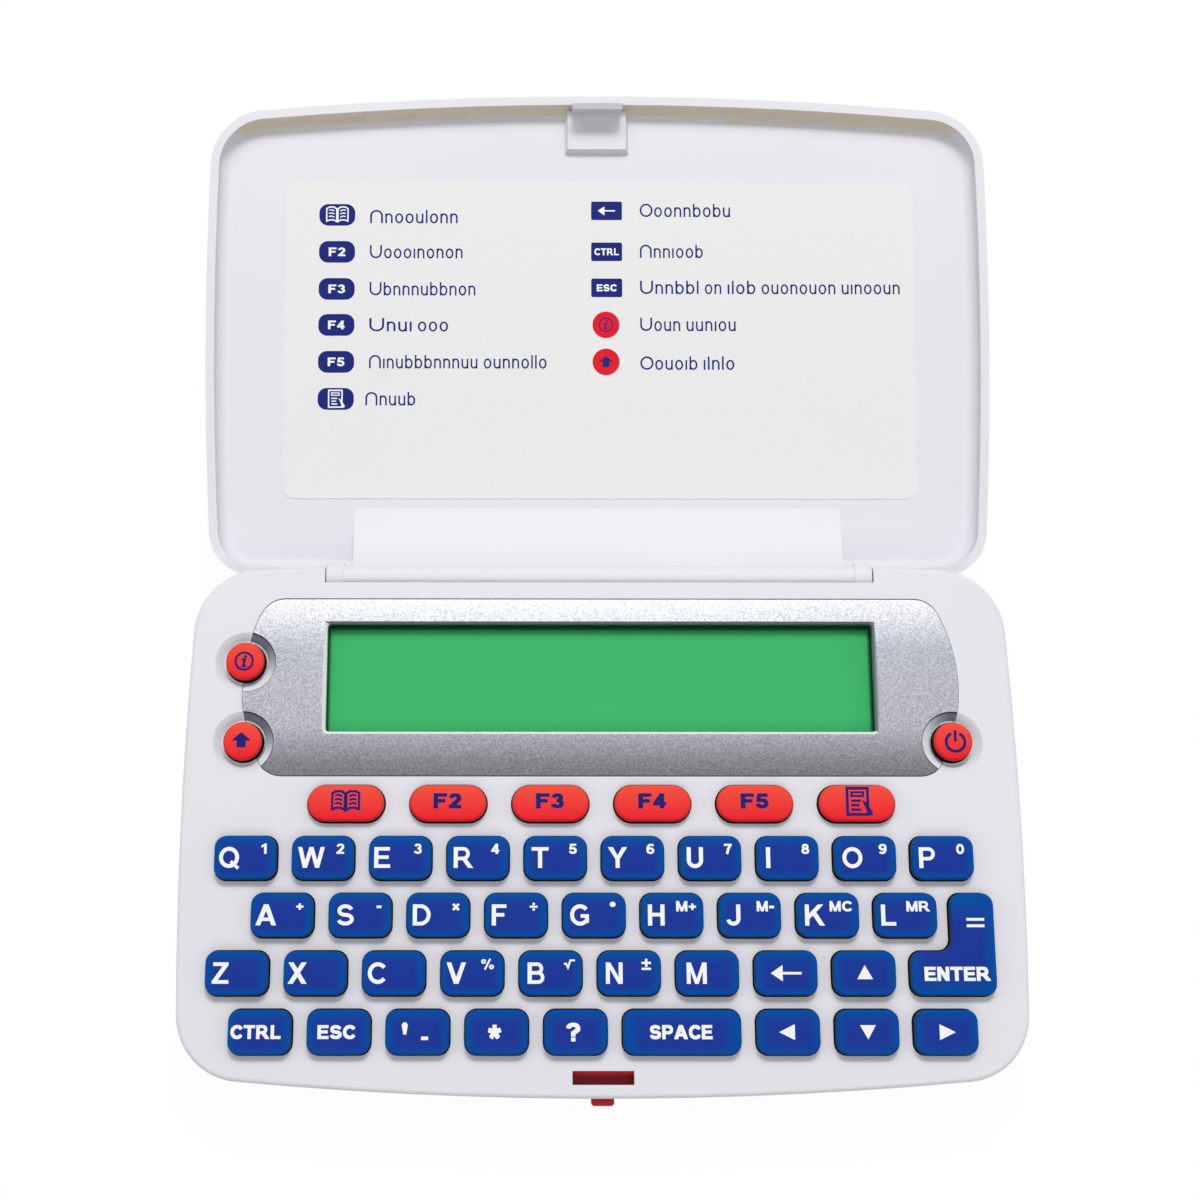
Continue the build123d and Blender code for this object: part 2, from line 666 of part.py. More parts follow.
# LCD panel with the flat strip that joins it to the board.
lcd_front = view_y - lcd_depth / 2
with BuildPart() as lcd_panel:
    with BuildSketch(Plane.XY.offset(lcd_bottom)):
        with Locations((0, view_y)):
            Rectangle(lcd_width, lcd_depth)
    extrude(amount=lcd_thickness)
    with BuildSketch(Plane.XY.offset(lcd_bottom)):
        with Locations((0, lcd_front + strip_lap)):
            Rectangle(strip_width, strip_depth, align=(Align.CENTER, Align.MAX))
    extrude(amount=-lcd_gap)
    with BuildSketch(Plane.XY.offset(mat_bottom)):
        with Locations((0, lcd_front + strip_lap - strip_depth)):
            Rectangle(strip_width, strip_lap, align=(Align.CENTER, Align.MIN))
    extrude(amount=roof_top - mat_bottom)

# Circuit board with its two chips, and the four battery contacts soldered to it.
board_notch_half = bay_length / 2 + bay_wall + 3 * fit
board_notch_front = bay_y - bay_width / 2 - bay_wall - 3 * fit
with BuildPart() as circuit_board:
    with BuildSketch(Plane.XY.offset(board_bottom)):
        add(board_outline(0, board_notch_half, board_notch_front))
    extrude(amount=board_thickness)
    for x in (-chip_x, chip_x):
        with Locations((x, row_y[1], board_bottom)):
            Cylinder(
                chip_diameter / 2,
                chip_height,
                align=(Align.CENTER, Align.CENTER, Align.MAX),
            )
    for x in (-1, 1):
        for cell, y in enumerate(cell_y):
            nub = nub_height if x * (1 - 2 * cell) > 0 else 0
            plate_x = bay_length / 2 - contact_thickness
            with BuildSketch(Plane.YZ.offset(x * plate_x)):
                with Locations((y, door_thickness + cell_clearance)):
                    Rectangle(
                        contact_width,
                        mat_bottom + contact_thickness / 2 - door_thickness - cell_clearance,
                        align=(Align.CENTER, Align.MIN),
                    )
            extrude(amount=x * contact_thickness)
            with BuildSketch(Plane.XY.offset(mat_bottom)):
                with Locations((x * plate_x, y)):
                    Rectangle(
                        bay_wall + contact_room,
                        contact_width,
                        align=(Align.MIN if x > 0 else Align.MAX, Align.CENTER),
                    )
            extrude(amount=contact_thickness / 2)
            with BuildSketch(Plane.YZ.offset(x * plate_x)):
                with Locations((y, door_thickness + cell_stack / 2)):
                    Circle(nub_diameter / 2)
            extrude(amount=-x * (contact_room - contact_thickness - nub))

# Keypad mat: silicone sheet with a dome under every key.
mat_notch_half = lcd_width / 2 + lcd_frame + 3 * fit
mat_notch_front = function_y + function_depth / 2 + mat_inset
with BuildPart() as keypad_mat:
    with BuildSketch(Plane.XY.offset(mat_bottom)):
        add(board_outline(mat_inset, mat_notch_half, mat_notch_front))
    extrude(amount=mat_thickness)
    with BuildSketch(Plane.XY.offset(mat_bottom + mat_thickness)):
        for name, kind, x, y in keys:
            middle = -enter_neck / 2 if kind == "enter" else 0
            with Locations((x + middle, y)):
                Rectangle(dome_foot, dome_foot)
    extrude(amount=dome_height, taper=dome_taper)

# Battery door, held by two tabs at its front and a screw through the ear at its rear.
with BuildPart() as battery_door:
    with BuildSketch():
        with Locations((0, bay_y)):
            Rectangle(door_length - 2 * door_gap, door_width - 2 * door_gap)
    extrude(amount=door_thickness)
    with BuildSketch():
        with Locations((0, door_screw_y)):
            Rectangle(door_ear_width - 2 * door_gap, door_ear_length - 2 * door_gap)
        with Locations((0, bay_y + door_width / 2)):
            Rectangle(door_ear_width - 2 * door_gap, 2 * door_gap)
    extrude(amount=door_thickness)
    with BuildSketch():
        with Locations((0, door_screw_y)):
            Rectangle(door_ear_width - 2 * door_gap, door_ear_length - 2 * door_gap)
    extrude(amount=door_ear_thickness)
    with BuildSketch(Plane.XY.offset(door_thickness)):
        with Locations(
            (-door_tab_x, bay_y - bay_width / 2 + fit), (door_tab_x, bay_y - bay_width / 2 + fit)
        ):
            Rectangle(door_tab_width, door_tab_thickness, align=(Align.CENTER, Align.MIN))
    extrude(amount=door_frame + fit + door_tab_thickness)
    with BuildSketch(Plane.XY.offset(door_thickness + door_frame + fit)):
        with Locations(
            (-door_tab_x, bay_y - bay_width / 2 + fit), (door_tab_x, bay_y - bay_width / 2 + fit)
        ):
            Rectangle(door_tab_width, door_tab_reach, align=(Align.CENTER, Align.MAX))
    extrude(amount=door_tab_thickness)
    with Locations((0, door_screw_y, 0)):
        Cylinder(
            screw_head_diameter / 2 + fit,
            3 * fit + screw_head_height,
            align=(Align.CENTER, Align.CENTER, Align.MIN),
            mode=Mode.SUBTRACT,
        )
        Cylinder(
            screw_diameter / 2 + fit,
            door_ear_thickness,
            align=(Align.CENTER, Align.CENTER, Align.MIN),
            mode=Mode.SUBTRACT,
        )

# The two cells, side by side and head to tail.
with BuildPart() as battery_cells:
    for cell, y in enumerate(cell_y):
        with BuildSketch(Plane.YZ.offset(-cell_length / 2)):
            with Locations((y, door_thickness + cell_stack / 2)):
                Circle(cell_diameter / 2)
        extrude(amount=cell_length)
        head = 1 - 2 * cell
        with BuildSketch(Plane.YZ.offset(head * cell_length / 2)):
            with Locations((y, door_thickness + cell_stack / 2)):
                Circle(nub_diameter / 2)
        extrude(amount=head * nub_height)

# Six case screws and the screw of the battery door.
with BuildPart() as case_screws:
    for x, y in screw_spots:
        with Locations((x, y, screw_recess)):
            Cylinder(
                screw_head_diameter / 2,
                screw_head_height,
                align=(Align.CENTER, Align.CENTER, Align.MIN),
            )
            Cylinder(
                screw_diameter / 2,
                screw_head_height + screw_length,
                align=(Align.CENTER, Align.CENTER, Align.MIN),
            )
    with Locations((0, door_screw_y, 3 * fit)):
        Cylinder(
            screw_head_diameter / 2,
            screw_head_height,
            align=(Align.CENTER, Align.CENTER, Align.MIN),
        )
        Cylinder(
            screw_diameter / 2,
            screw_head_height + door_screw_length,
            align=(Align.CENTER, Align.CENTER, Align.MIN),
        )

# Latch: push button, frame and catch lip in one piece, sliding in the rails of the top housing.
latch_front = front_y + wall + fit
with BuildPart() as latch_button:
    with BuildSketch(Plane.YZ):
        with BuildLine():
            Polyline(
                (latch_front, latch_bottom),
                (latch_back_rear, latch_bottom),
                (latch_back_rear, lip_top),
                (lip_front + lip_thickness / 2, lip_top),
                (lip_front, lip_top - lip_thickness / 2),
                (lip_front, lip_bottom),
                (latch_back_front, lip_bottom),
                (latch_back_front, latch_bottom + latch_floor),
                (latch_front, latch_bottom + latch_floor),
                close=True,
            )
        make_face()
    extrude(amount=latch_width / 2, both=True)
    with BuildSketch(Plane.XY.offset(latch_bottom)):
        with Locations((0, front_y - nose_proud)):
            Rectangle(
                nose_width,
                latch_front - front_y + nose_proud,
                align=(Align.CENTER, Align.MIN),
            )
    extrude(amount=nose_height)
    nose_face = latch_button.faces().sort_by(Axis.Y)[0]
    fillet(nose_face.edges(), nose_round)
    with BuildSketch(Plane.XZ.offset(-latch_back_rear)):
        with Locations((0, latch_bottom)):
            Rectangle(
                spring_seat_width,
                latch_bottom - spring_z + spring_radius + spring_wire,
                align=(Align.CENTER, Align.MAX),
            )
    extrude(amount=latch_wall)

# Return spring of the latch, between its leg and the seat in the bottom housing.
with BuildPart() as latch_spring:
    with BuildLine() as coil:
        Helix(
            pitch=(spring_length - 2 * spring_wire) / spring_turns,
            height=spring_length - 2 * spring_wire,
            radius=spring_radius,
            center=(0, latch_back_rear + spring_wire, spring_z),
            direction=(0, 1, 0),
        )
    with BuildSketch(Plane(origin=coil.line @ 0, z_dir=coil.line % 0)):
        RegularPolygon(spring_wire / 2, 6)
    sweep(is_frenet=True)

# Lid: crowned shell with a deep rim, hinge barrel with its pins, and the latch hook, in one piece.
with BuildPart() as lid_cavity:
    with BuildSketch(lid_frame.offset(lid_rim)):
        with Locations((0, -hinge_y)):
            add(case_outline(lid_inset + lid_wall, lid_rear_corner))
    extrude(amount=lid_depth)
    up = Axis(lid_frame.origin, lid_frame.z_dir)
    fillet(lid_cavity.faces().sort_by(up)[-1].edges(), lid_cove)

with BuildPart() as lid:
    with BuildSketch(lid_frame.offset(lid_rim)):
        with Locations((0, -hinge_y)):
            add(case_outline(lid_inset, lid_rear_corner))
    extrude(amount=lid_top - lid_rim)
    with Locations(lid_frame.location * Location((0, -hinge_y, lid_top - lid_crown_radius))):
        Sphere(lid_crown_radius, rotation=(90, 0, 0), mode=Mode.INTERSECT)
    fillet(lid.faces().sort_by(up)[-1].edges(), lid_edge)
    add(lid_cavity.part, mode=Mode.SUBTRACT)
    # rear wall carried down to the barrel, and the ramp that stiffens it
    with BuildSketch(lid_side):
        Circle(barrel_radius)
        with Locations((lid_rear, 0)):
            Rectangle(lid_wall, lid_rim + lid_wall, align=(Align.MAX, Align.MIN))
    extrude(amount=barrel_half, both=True)
    ramp_nose = barrel_radius * 0.65
    with BuildSketch(lid_side):
        with BuildLine():
            Polyline(
                (-ramp_nose, ramp_nose),
                (-ramp_nose, lid_rim + 2 * fit),
                (-ramp_length, lid_panel),
                (-ramp_length, lid_panel + fit),
                (lid_rear - lid_wall / 2, lid_panel + fit),
                (lid_rear - lid_wall / 2, 0),
                close=True,
            )
        make_face()
    extrude(amount=ramp_width / 2, both=True)
    for side in (-1, 1):
        with BuildSketch(lid_side.offset(side * barrel_half)):
            Circle(knuckle_radius)
        extrude(amount=-side * knuckle_length)
        with BuildSketch(lid_side.offset(side * barrel_half)):
            Circle(pin_radius)
        extrude(amount=side * (barrel_gap + pin_length))
    # hook that snaps under the latch's lip, and the pad at its root
    tip = lid_rim - hook_reach
    blade_front = hook_front - hinge_y
    blade_rear = blade_front + hook_thickness
    with BuildSketch(lid_side):
        with BuildLine():
            Polyline(
                (blade_front, tip + barb_height / 2),
                (blade_front + barb_height / 3, tip),
                (blade_rear, tip),
                (blade_rear + hook_barb, tip + barb_height * 0.7),
                (blade_rear + hook_barb, tip + barb_height),
                (blade_rear, tip + barb_height),
                (blade_rear, lid_panel + fit),
                (blade_front, lid_panel + fit),
                close=True,
            )
        make_face()
    extrude(amount=hook_width / 2, both=True)
    with BuildSketch(lid_frame.offset(lid_panel)):
        with Locations((0, front_y + lid_inset + lid_wall - hinge_y)):
            Rectangle(pad_width, pad_depth, align=(Align.CENTER, Align.MIN))
    extrude(amount=-pad_height, taper=pad_taper)

# ---- write the pieces ----------------------------------------------------------------------
pieces = {
    "top_housing": top_housing,
    "bottom_housing": bottom_housing,
    "display_bezel": display_bezel,
    "display_window": display_window,
    "lcd_panel": lcd_panel,
    "circuit_board": circuit_board,
    "keypad_mat": keypad_mat,
    "battery_door": battery_door,
    "battery_cells": battery_cells,
    "case_screws": case_screws,
    "latch_button": latch_button,
    "latch_spring": latch_spring,
    "lid": lid,
}
for name, piece in pieces.items():
    piece.part.label = name
    export_step(piece.part, f"parts/{name}.step")

# Keys: a cap with a flange under the case, each its own piece.
proud = {"letter": key_proud, "space": key_proud, "enter": key_proud}
proud["function"] = function_proud
proud["round"] = round_proud
for name, kind, x, y in keys:
    with BuildPart() as key:
        with BuildSketch(Plane.XY.offset(flange_bottom)):
            with Locations((x, y)):
                add(key_outline(kind, key_gap + flange_lap))
        extrude(amount=flange_thickness)
        with BuildSketch(Plane.XY.offset(flange_top)):
            with Locations((x, y)):
                add(key_outline(kind))
        extrude(amount=base_height + proud[kind] - flange_top)
        chamfer(key.faces().sort_by(Axis.Z)[-1].edges(), key_edge)
    key.part.label = name
    export_step(key.part, f"parts/{name}.step")
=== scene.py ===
# Pocket electronic dictionary with a hinged lid, dressed on its CAD frame. Metres, +Z up.
# Sections follow the order in which the object is put together, from the housings to the lid.
import math
import random

import bmesh
import bpy
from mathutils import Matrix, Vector
from mathutils.geometry import delaunay_2d_cdt


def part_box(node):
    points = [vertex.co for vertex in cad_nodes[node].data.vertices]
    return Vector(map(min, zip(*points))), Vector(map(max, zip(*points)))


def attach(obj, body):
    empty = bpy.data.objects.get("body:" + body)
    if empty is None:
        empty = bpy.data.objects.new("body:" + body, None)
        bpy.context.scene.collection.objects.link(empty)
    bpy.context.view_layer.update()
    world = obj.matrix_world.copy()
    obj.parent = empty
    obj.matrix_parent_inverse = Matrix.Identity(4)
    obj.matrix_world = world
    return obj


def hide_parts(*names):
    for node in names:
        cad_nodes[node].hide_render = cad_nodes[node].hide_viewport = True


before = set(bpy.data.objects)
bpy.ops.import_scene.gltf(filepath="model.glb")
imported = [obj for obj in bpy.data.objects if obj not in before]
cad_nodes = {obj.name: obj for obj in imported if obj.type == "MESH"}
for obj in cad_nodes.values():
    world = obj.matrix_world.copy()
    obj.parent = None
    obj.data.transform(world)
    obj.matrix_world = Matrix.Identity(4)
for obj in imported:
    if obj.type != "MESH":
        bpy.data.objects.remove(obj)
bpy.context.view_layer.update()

# ---- Housings and battery door ----
# The two halves of the case and the battery door are injection-moulded white ABS, from tools
# with a fine spark-eroded finish. The halves meet at mid height and are screwed from below.


def srgb(code):
    """An sRGB hex colour as the linear RGBA that shaders take."""
    values = [int(code[i : i + 2], 16) / 255 for i in (1, 3, 5)]
    linear = (v / 12.92 if v <= 0.04045 else ((v + 0.055) / 1.055) ** 2.4 for v in values)
    return (*linear, 1.0)


def add_node(tree, kind, inputs=None, **settings):
    """A node with its settings and inputs. An input is a value, a node whose first output is
    linked to it, one of a node's outputs as (node, output), or a list of nodes."""
    node = tree.nodes.new(kind)
    for name, value in settings.items():
        setattr(node, name, value)
    for name, value in (inputs or {}).items():
        for part in value if isinstance(value, list) else [value]:
            if isinstance(part, bpy.types.Node):
                output = next(output for output in part.outputs if output.enabled)
                tree.links.new(output, node.inputs[name])
            elif isinstance(part, tuple) and isinstance(part[0], bpy.types.Node):
                tree.links.new(part[0].outputs[part[1]], node.inputs[name])
            else:
                node.inputs[name].default_value = part
    return node


def new_material(name):
    """An empty node material, its tree and the node that places its patterns."""
    material = bpy.data.materials.new(name)
    material.use_nodes = True
    material.node_tree.nodes.clear()
    return material, material.node_tree, add_node(material.node_tree, "ShaderNodeTexCoord")


def dress(name, material):
    """Gives a CAD node this material."""
    cad_nodes[name].data.materials.clear()
    cad_nodes[name].data.materials.append(material)


# White ABS from a fine spark-eroded tool: nearly neutral, with a soft sheen and no visible
# sparkle. The grit is about 0.05 mm, drawn at 0.25 mm so that it shows at all.
white_abs, tree, place = new_material("moulded_white_abs")
grit = add_node(
    tree,
    "ShaderNodeBump",
    {
        "Height": add_node(
            tree, "ShaderNodeTexNoise", {"Vector": (place, "Object"), "Scale": 4000.0}
        ),
        "Strength": 0.12,
        "Distance": 0.00002,
    },
)
tint = add_node(
    tree,
    "ShaderNodeMix",
    {
        "Factor": add_node(
            tree, "ShaderNodeTexNoise", {"Vector": (place, "Object"), "Scale": 22.0}
        ),
        6: srgb("#E2E1E7"),
        7: srgb("#E8E7EC"),
    },
    data_type="RGBA",
)
shader = add_node(
    tree,
    "ShaderNodeBsdfPrincipled",
    {"Base Color": tint, "Roughness": 0.4, "Specular IOR Level": 0.35, "Normal": grit},
)
add_node(tree, "ShaderNodeOutputMaterial", {"Surface": shader})
for name in ("top_housing", "bottom_housing", "battery_door"):
    dress(name, white_abs)

# ---- Case screws ----
# Seven self-tapping screws, zinc plated, with pan heads and cross recesses. Six hold the halves
# of the case together from below, and a shorter one holds the battery door.
screw_sizes = {
    "Head Diameter": 0.0038,
    "Head Height": 0.0015,
    "Shank Diameter": 0.0019,
    "Recess Span": 0.0022,  # length of each arm of the cross
    "Recess Width": 0.0006,
    "Recess Depth": 0.0009,
}


def uneven(tree, place, scale, low, high):
    """A roughness that wanders between two values."""
    return add_node(
        tree,
        "ShaderNodeMapRange",
        {
            "Value": add_node(
                tree, "ShaderNodeTexNoise", {"Vector": (place, "Object"), "Scale": scale}
            ),
            "To Min": low,
            "To Max": high,
        },
    )


# Zinc plating on steel, barrel finished: bright, slightly blue, with a fine cloudiness.
zinc_plate, tree, place = new_material("zinc_plated_steel")
shader = add_node(
    tree,
    "ShaderNodeBsdfPrincipled",
    {
        "Base Color": srgb("#C4C7CC"),
        "Roughness": uneven(tree, place, 1500.0, 0.25, 0.45),
        "Metallic": 1.0,
    },
)
add_node(tree, "ShaderNodeOutputMaterial", {"Surface": shader})


def new_tree(name, numbers, vectors=()):
    """A Geometry Nodes tree with inputs of these names and a material, and its input node."""
    tree = bpy.data.node_groups.new(name, "GeometryNodeTree")
    sockets = [("Geometry", "Geometry"), *((number, "Float") for number in numbers)]
    sockets += [*((vector, "Vector") for vector in vectors), ("Material", "Material")]
    for socket, kind in sockets:
        tree.interface.new_socket(socket, in_out="INPUT", socket_type="NodeSocket" + kind)
    tree.interface.new_socket("Geometry", in_out="OUTPUT", socket_type="NodeSocketGeometry")
    return tree, add_node(tree, "NodeGroupInput")


def finish_tree(tree, given, geometry):
    """Ends a tree with this geometry, in the material that it is given."""
    real = add_node(tree, "GeometryNodeRealizeInstances", {"Geometry": geometry})
    inputs = {"Geometry": real, "Material": (given, "Material")}
    add_node(tree, "NodeGroupOutput", {0: add_node(tree, "GeometryNodeSetMaterial", inputs)})


screw_tree, given = new_tree("cross_head_screws", screw_sizes)
tree = screw_tree
head_radius = add_node(
    tree, "ShaderNodeMath", {0: (given, "Head Diameter"), 1: 0.5}, operation="MULTIPLY"
)
head_inputs = {"Vertices": 40, "Radius": head_radius, "Depth": (given, "Head Height")}
head = add_node(tree, "GeometryNodeMeshCylinder", head_inputs)
arm_height = add_node(
    tree, "ShaderNodeMath", {0: (given, "Recess Depth"), 1: 2.0}, operation="MULTIPLY"
)
head_foot = add_node(
    tree,
    "ShaderNodeCombineXYZ",
    {
        "Z": add_node(
            tree, "ShaderNodeMath", {0: (given, "Head Height"), 1: -0.5}, operation="MULTIPLY"
        ),
    },
)
arms = []
for along, across in (("Recess Span", "Recess Width"), ("Recess Width", "Recess Span")):
    size = add_node(
        tree, "ShaderNodeCombineXYZ", {"X": (given, along), "Y": (given, across), "Z": arm_height}
    )
    arm = add_node(tree, "GeometryNodeMeshCube", {"Size": size})
    arms.append(
        add_node(tree, "GeometryNodeTransform", {"Geometry": arm, "Translation": head_foot})
    )
solids = {"Mesh 1": head, "Mesh 2": arms}
cut_head = add_node(tree, "GeometryNodeMeshBoolean", solids, operation="DIFFERENCE")
shank_radius = add_node(
    tree, "ShaderNodeMath", {0: (given, "Shank Diameter"), 1: 0.5}, operation="MULTIPLY"
)
shank_inputs = {"Vertices": 24, "Radius": shank_radius, "Depth": 1.0}
shank = add_node(tree, "GeometryNodeMeshCylinder", shank_inputs)
length = add_node(tree, "GeometryNodeInputNamedAttribute", {"Name": "shank_length"})
heads, shanks = (
    add_node(tree, "GeometryNodeInstanceOnPoints", {"Points": given, **inputs})
    for inputs in (
        {"Instance": cut_head},
        {
            "Instance": add_node(
                tree, "GeometryNodeTransform", {"Geometry": shank, "Translation": (0, 0, 0.5)}
            ),
            "Scale": add_node(
                tree, "ShaderNodeCombineXYZ", {"X": 1.0, "Y": 1.0, "Z": (length, "Attribute")}
            ),
        },
    )
)
finish_tree(tree, given, add_node(tree, "GeometryNodeJoinGeometry", {0: [heads, shanks]}))


def new_piece(name, mesh, *materials):
    """An object at the origin, with its place in its mesh, and these materials in its slots."""
    piece = bpy.data.objects.new(name, mesh)
    bpy.context.scene.collection.objects.link(piece)
    for material in materials:
        mesh.materials.append(material)
    return piece


def bake_tree(name, seed_mesh, tree, values):
    """The plain mesh that a Geometry Nodes tree makes from a seed mesh, with these named inputs."""
    seed = new_piece(name + "_seed", seed_mesh)
    modifier = seed.modifiers.new(tree.name, "NODES")
    modifier.node_group = tree
    for item in tree.interface.items_tree:
        if item.in_out == "INPUT" and item.name in values:
            modifier[item.identifier] = values[item.name]
    evaluated = seed.evaluated_get(bpy.context.evaluated_depsgraph_get())
    mesh = bpy.data.meshes.new_from_object(evaluated)
    mesh.name = name
    mesh.materials.clear()
    mesh.materials.append(values["Material"])
    bpy.data.objects.remove(seed)
    return mesh


def welded(name):
    """A bmesh of a CAD node, with its faces joined at their corners."""
    mesh = bmesh.new()
    mesh.from_mesh(cad_nodes[name].data)
    bmesh.ops.remove_doubles(mesh, verts=mesh.verts, dist=1e-6)
    return mesh


# Each screw's place and length are read from its solid.
solids = welded("case_screws")
centres, lengths, read = [], [], set()
for start in solids.verts:
    if start in read:
        continue
    read.add(start)
    screw = [start]
    for vertex in screw:  # it grows while it is walked
        for edge in vertex.link_edges:
            other = edge.other_vert(vertex)
            if other not in read:
                read.add(other)
                screw.append(other)
    low, high = (Vector([side(v.co[i] for v in screw) for i in range(3)]) for side in (min, max))
    head_middle = low.z + screw_sizes["Head Height"] / 2
    centres.append(((low.x + high.x) / 2, (low.y + high.y) / 2, head_middle))
    lengths.append(high.z - head_middle)
solids.free()
seed_points = bpy.data.meshes.new("screw_points")
seed_points.from_pydata(centres, [], [])
seed_points.attributes.new("shank_length", "FLOAT", "POINT").data.foreach_set("value", lengths)
screw_mesh = bake_tree(
    "cross_head_screws", seed_points, screw_tree, {**screw_sizes, "Material": zinc_plate}
)
screws = new_piece("cross_head_screws", screw_mesh)
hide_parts("case_screws")
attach(screws, "base")

# ---- Circuit board, keypad mat and cells ----
# Inside the case lie a green glass-epoxy board with two chips under black resin and four plated
# battery contacts, a silicone mat with a dome for each key, and two AAA cells in the bay.
board_underside = 0.0120
contact_inside = 0.0240  # from the centre line to the contacts
hair = 0.0001  # so that the board's own underside isn't among what hangs there
track_pitch = 0.0006
cell_bare = 0.02185  # from the middle of a cell to its bare end
cell_band = 0.0125  # from the middle to the near side of the pale band
cell_band_end = 0.0155  # and to its far side

# Solder mask over copper on glass epoxy: glossy green, with slightly lighter tracks 0.6 mm apart.
# What hangs under the board is matt black resin near the middle and nickel plate further out.
solder_mask, tree, place = new_material("solder_masked_epoxy")
at = add_node(tree, "ShaderNodeSeparateXYZ", {"Vector": (place, "Object")})
bricks = {
    "Vector": (place, "Object"),
    "Color1": srgb("#0E5A2E"),
    "Color2": srgb("#12653A"),
    "Mortar": srgb("#2E8A50"),
    "Scale": 1.0,
    "Mortar Size": 0.0001,
    "Brick Width": track_pitch * 7,
    "Row Height": track_pitch,
}
tracks = add_node(tree, "ShaderNodeTexBrick", bricks)
below = add_node(
    tree, "ShaderNodeMath", {0: (at, "Z"), 1: board_underside - hair}, operation="LESS_THAN"
)
outside = add_node(
    tree,
    "ShaderNodeMath",
    {0: add_node(tree, "ShaderNodeMath", {0: (at, "X")}, operation="ABSOLUTE"), 1: contact_inside},
    operation="GREATER_THAN",
)
metal = add_node(tree, "ShaderNodeMath", {0: below, 1: outside}, operation="MULTIPLY")
colour = add_node(
    tree,
    "ShaderNodeMix",
    {
        "Factor": below,
        6: (tracks, "Color"),
        7: add_node(
            tree,
            "ShaderNodeMix",
            {"Factor": outside, 6: srgb("#141416"), 7: srgb("#CFCBC2")},
            data_type="RGBA",
        ),
    },
    data_type="RGBA",
)
shader = add_node(
    tree, "ShaderNodeBsdfPrincipled", {"Base Color": colour, "Roughness": 0.35, "Metallic": metal}
)
add_node(tree, "ShaderNodeOutputMaterial", {"Surface": shader})
dress("circuit_board", solder_mask)

# Translucent silicone rubber, compression moulded: milky, matt and slightly see-through.
silicone, tree, place = new_material("moulded_silicone_rubber")
milk = add_node(
    tree,
    "ShaderNodeMix",
    {
        "Factor": add_node(
            tree, "ShaderNodeTexNoise", {"Vector": (place, "Object"), "Scale": 300.0}
        ),
        6: srgb("#C9C9C6"),
        7: srgb("#D6D6D2"),
    },
    data_type="RGBA",
)
shader = add_node(
    tree,
    "ShaderNodeBsdfPrincipled",
    {"Base Color": milk, "Roughness": 0.55, "IOR": 1.41, "Subsurface Weight": 0.2},
)
add_node(tree, "ShaderNodeOutputMaterial", {"Surface": shader})
dress("keypad_mat", silicone)

# Shrunk PVC jacket on each cell: satin black with one pale band, and bare nickel-plated ends.
jacket, tree, place = new_material("shrunk_pvc_jacket")
reach = add_node(
    tree,
    "ShaderNodeMath",
    {0: (add_node(tree, "ShaderNodeSeparateXYZ", {"Vector": (place, "Object")}), "X")},
    operation="ABSOLUTE",
)
bare = add_node(tree, "ShaderNodeMath", {0: reach, 1: cell_bare}, operation="GREATER_THAN")
past, short = (
    add_node(tree, "ShaderNodeMath", {0: reach, 1: edge}, operation=test)
    for test, edge in (("GREATER_THAN", cell_band), ("LESS_THAN", cell_band_end))
)
banded = add_node(tree, "ShaderNodeMath", {0: past, 1: short}, operation="MULTIPLY")
colour = add_node(
    tree,
    "ShaderNodeMix",
    {
        "Factor": bare,
        6: add_node(
            tree,
            "ShaderNodeMix",
            {"Factor": banded, 6: srgb("#17181B"), 7: srgb("#B9BCC2")},
            data_type="RGBA",
        ),
        7: srgb("#C9C7C1"),
    },
    data_type="RGBA",
)
shader = add_node(
    tree,
    "ShaderNodeBsdfPrincipled",
    {"Base Color": colour, "Roughness": uneven(tree, place, 900.0, 0.25, 0.4), "Metallic": bare},
)
add_node(tree, "ShaderNodeOutputMaterial", {"Surface": shader})
dress("battery_cells", jacket)

# ---- Display ----
# A liquid crystal panel lies under a clear acrylic window. The panel is lit green and blank, and a
# darker edge is painted round it as the shadow that the bezel's opening casts on it.
view_low, view_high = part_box("display_window")
view_middle = (view_low + view_high) / 2
view_lap = 0.0012  # how far the window reaches under the bezel
view_half = (view_high - view_low) / 2 - Vector((view_lap, view_lap, 0))
view_shade = 0.0003  # how much wider the painted shadow at the film's edge is at the rear
view_fade = 0.0007  # width of that painted shadow

# Reflective liquid crystal glass with a green polariser: flat and even, with a painted shadow that
# darkens it towards its edges.
green_polariser, tree, place = new_material("green_polariser_film")
at = add_node(tree, "ShaderNodeSeparateXYZ", {"Vector": (place, "Object")})
aside = add_node(
    tree,
    "ShaderNodeMath",
    {0: add_node(tree, "ShaderNodeMath", {0: (at, "X"), 1: view_middle.x}, operation="SUBTRACT")},
    operation="ABSOLUTE",
)
from_side = add_node(tree, "ShaderNodeMath", {0: view_half.x, 1: aside}, operation="SUBTRACT")
from_front = add_node(
    tree, "ShaderNodeMath", {0: (at, "Y"), 1: view_low.y + view_lap}, operation="SUBTRACT"
)
from_rear = add_node(
    tree,
    "ShaderNodeMath",
    {0: view_high.y - view_lap - view_shade, 1: (at, "Y")},
    operation="SUBTRACT",
)
from_edge = add_node(
    tree,
    "ShaderNodeMath",
    {
        0: from_side,
        1: add_node(tree, "ShaderNodeMath", {0: from_front, 1: from_rear}, operation="MINIMUM"),
    },
    operation="MINIMUM",
)
inside = add_node(
    tree,
    "ShaderNodeMapRange",
    {"Value": from_edge, "From Max": view_fade},
    interpolation_type="SMOOTHSTEP",
)
